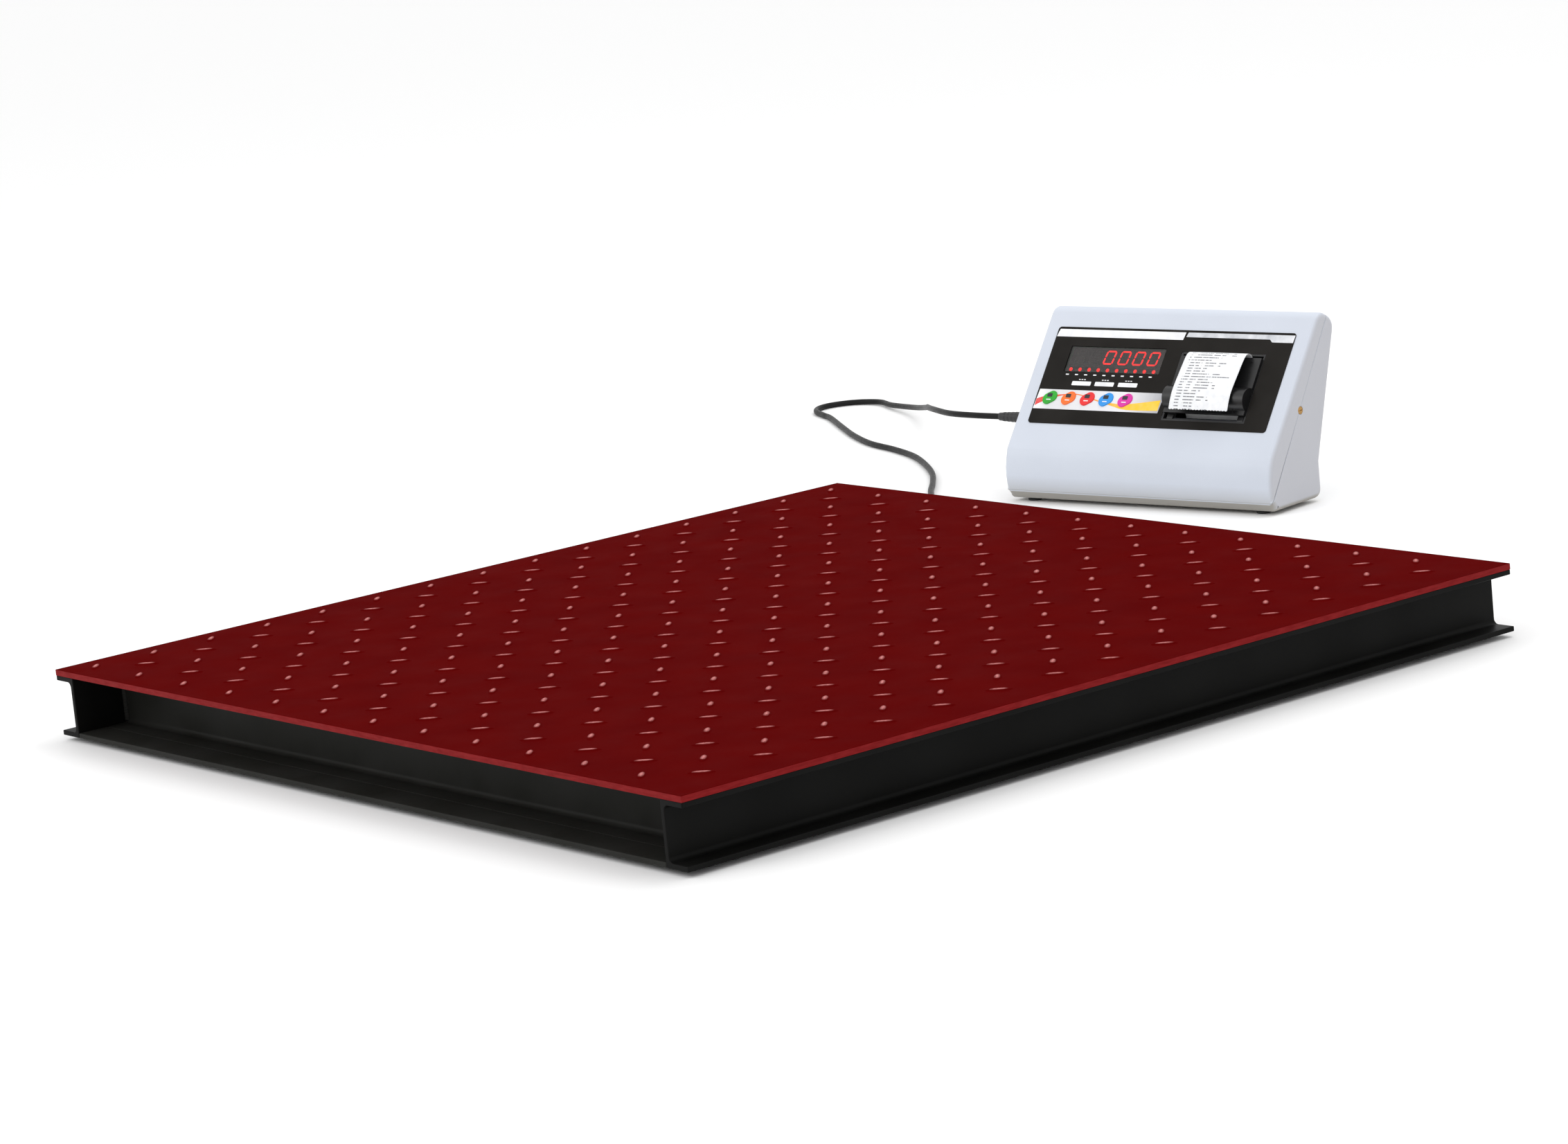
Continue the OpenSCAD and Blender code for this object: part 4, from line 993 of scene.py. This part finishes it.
class PALLETSCALE_OT_keys(bpy.types.Operator):
    """Finishes the five oval keys, each with its dark mark"""

    bl_idname = "pallet_scale.keys"
    bl_label = "Keys"

    COLOURS = {"green": "#15A31A", "orange": "#F36C1C", "red": "#E41A1E", "blue": "#2092E4",
               "magenta": "#D2229C"}

    def execute(self, context):
        mark_ink = printed_ink("key_mark_ink", "#14151A", "#20222A")
        for name, hex_code in self.COLOURS.items():
            plastic = moulded_plastic(f"key_{name}_plastic", hex_code, 0.34)
            rounded_copy(f"key_{name}", 0.9, plastic, 4, width=self.top_width)
            self.add_mark(name, mark_ink)
        return {"FINISHED"}

    def top_width(self, edge):
        """Rounds only the edge of a key's top."""
        on_top = all(
            abs((v.co - FACE_ORIGIN).dot(OUT) - KEY_TOP * MM) < 0.05 * MM for v in edge.verts)
        return 0.9 if on_top else 0.0

    def add_mark(self, name, ink):
        """A small dark window near the key's upper end and a light dash below it."""
        key = f"key_{name}"
        low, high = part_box(key)
        x, v = ((low + high) / 2 - FACE_ORIGIN).dot(ACROSS) / MM, 64
        window = round_corners(x - 3.6, v + 0.4, x + 3.6, v + 5.0, 0.9)
        white = printed_ink(f"{key}_dash_ink", "#E2E2E4", "#F0F0F2")
        dash = round_corners(x - 3.4, v - 3.4, x + 3.0, v - 2.2, 0.4, 3)
        for kind, outline, colouring in (("mark", window, ink), ("dash", dash, white)):
            piece = face_print(
                f"{key}_{kind}", outline, KEY_TOP, colouring, body=key, thick_mm=0.06)


# ---- printer

class PALLETSCALE_OT_printer(bpy.types.Operator):
    """Finishes the printer's tray, door, platen, head, motor and paper roll"""

    bl_idname = "pallet_scale.printer"
    bl_label = "Printer"

    def execute(self, context):
        rounded_copy("printer_frame", 0.3, moulded_plastic("tray_black", "#1A1A1B", 0.45))
        rounded_copy("printer_door", 0.5, moulded_plastic("door_black", "#141415", 0.32), 3)
        rounded_copy("platen_roller", 0, rubber("platen_rubber", "#2A2A2A"))
        rounded_copy("print_head", 0.3, plated_metal("head_aluminium", "#B8BABD", 0.4))
        rounded_copy("door_hinge_pin", 0.2, plated_metal("pin_steel", "#3A3B3E", 0.4))
        rounded_copy("feed_motor", 0.6, plated_metal("motor_can", "#A8AAAD", 0.4))
        rounded_copy("feed_pinion", 0, moulded_plastic("pinion_nylon", "#DCD6C4", 0.5))
        roll_paper = printed_ink("roll_paper", "#E4E5E7", "#F4F4F5", 0.65)
        rounded_copy("paper_roll", 0.5, roll_paper)
        self.add_receipt()
        return {"FINISHED"}

    def add_receipt(self):
        """The fed-out receipt: a thin curled sheet with a torn end, printed on its outside."""
        path = self.receipt_path()
        columns, width, thick = 40, 80.0, 0.16
        across0 = PRINTER_MIDDLE - width / 2
        vertices, uvs = [], []
        run = 0.0
        for i, (v, n) in enumerate(path):
            if i:
                run += math.dist(path[i], path[i - 1])
            before, after = path[max(i - 1, 0)], path[min(i + 1, len(path) - 1)]
            slope = math.dist(before, after)
            normal = (-(after[1] - before[1]) / slope, (after[0] - before[0]) / slope)
            for side in (0.0, thick):
                for k in range(columns + 1):
                    u = k / columns
                    tear = (0.9 * abs((k * 0.5) % 1 - 0.5) * 2) if i == len(path) - 1 else 0.0
                    curl = 0.5 * (2 * u - 1) ** 2 * min(1, run / 30)
                    lift = side - curl
                    vertices.append(on_face(across0 + width * u, v - normal[0] * lift + tear,
                                            n - normal[1] * lift))
                    uvs.append((width * u, run))
        self.finish_receipt(vertices, uvs, len(path), columns + 1)

    def receipt_path(self):
        """The receipt's middle line as (v, n), from the slot over the door's bulge to its end."""
        points = [(122.4, 0.2), (124.0, 3.5), (123.4, 8.5), (119.5, 12.2), (113, 14.0),
                  (104, 15.2), (92, 16.4), (80, 17.6), (70, 18.0), (61, 16.9), (55, 15.6),
                  (49.5, 14.2)]
        return [(p.x, p.y) for p in catmull([Vector(point) for point in points], 5)]

    def finish_receipt(self, vertices, uvs, rows, row):
        """Joins the receipt's two sides and edges into one closed sheet."""
        def at(i, side, k):
            return (i * 2 + side) * row + k
        faces = []
        for i in range(rows - 1):
            for k in range(row - 1):
                faces.append([at(i, 0, k), at(i, 0, k + 1), at(i + 1, 0, k + 1), at(i + 1, 0, k)])
                faces.append([at(i, 1, k), at(i + 1, 1, k), at(i + 1, 1, k + 1), at(i, 1, k + 1)])
            for k in (0, row - 1):
                quad = [at(i, 0, k), at(i + 1, 0, k), at(i + 1, 1, k), at(i, 1, k)]
                faces.append(quad if k == 0 else quad[::-1])
        for i in (0, rows - 1):
            for k in range(row - 1):
                quad = [at(i, 0, k), at(i, 1, k), at(i, 1, k + 1), at(i, 0, k + 1)]
                faces.append(quad if i == 0 else quad[::-1])
        piece = new_piece("receipt_sheet", vertices, faces, receipt_paper(), body="printer_door")
        layer = piece.data.uv_layers.new(name="paper_mm")
        for loop in piece.data.loops:
            layer.data[loop.index].uv = uvs[loop.vertex_index]
        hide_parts("receipt")


# ---- panel in the sidebar

OPERATORS = (
    PALLETSCALE_OT_stage,
    PALLETSCALE_OT_cable,
    PALLETSCALE_OT_deck,
    PALLETSCALE_OT_platform_frame,
    PALLETSCALE_OT_cells_and_feet,
    PALLETSCALE_OT_case,
    PALLETSCALE_OT_back_fittings,
    PALLETSCALE_OT_panel,
    PALLETSCALE_OT_display,
    PALLETSCALE_OT_keys,
    PALLETSCALE_OT_printer,
)


class PALLETSCALE_PT_sidebar(bpy.types.Panel):
    """Lists the pieces that can be built"""

    bl_label = "Pallet scale"
    bl_idname = "PALLETSCALE_PT_sidebar"
    bl_space_type = "VIEW_3D"
    bl_region_type = "UI"
    bl_category = "Pallet scale"

    def draw(self, context):
        for operator in OPERATORS:
            self.layout.operator(operator.bl_idname)


CLASSES = (PALLETSCALE_PG_sizes, PALLETSCALE_PG_colours, *OPERATORS, PALLETSCALE_PT_sidebar)


def register():
    for cls in CLASSES:
        bpy.utils.register_class(cls)
    bpy.types.Scene.scale_sizes = PointerProperty(type=PALLETSCALE_PG_sizes)
    bpy.types.Scene.scale_colours = PointerProperty(type=PALLETSCALE_PG_colours)


def unregister():
    del bpy.types.Scene.scale_colours
    del bpy.types.Scene.scale_sizes
    for cls in reversed(CLASSES):
        bpy.utils.unregister_class(cls)


def main():
    """Builds every piece."""
    register()
    for operator in OPERATORS:
        group, name = operator.bl_idname.split(".")
        getattr(getattr(bpy.ops, group), name)()


if __name__ == "__main__":
    main()
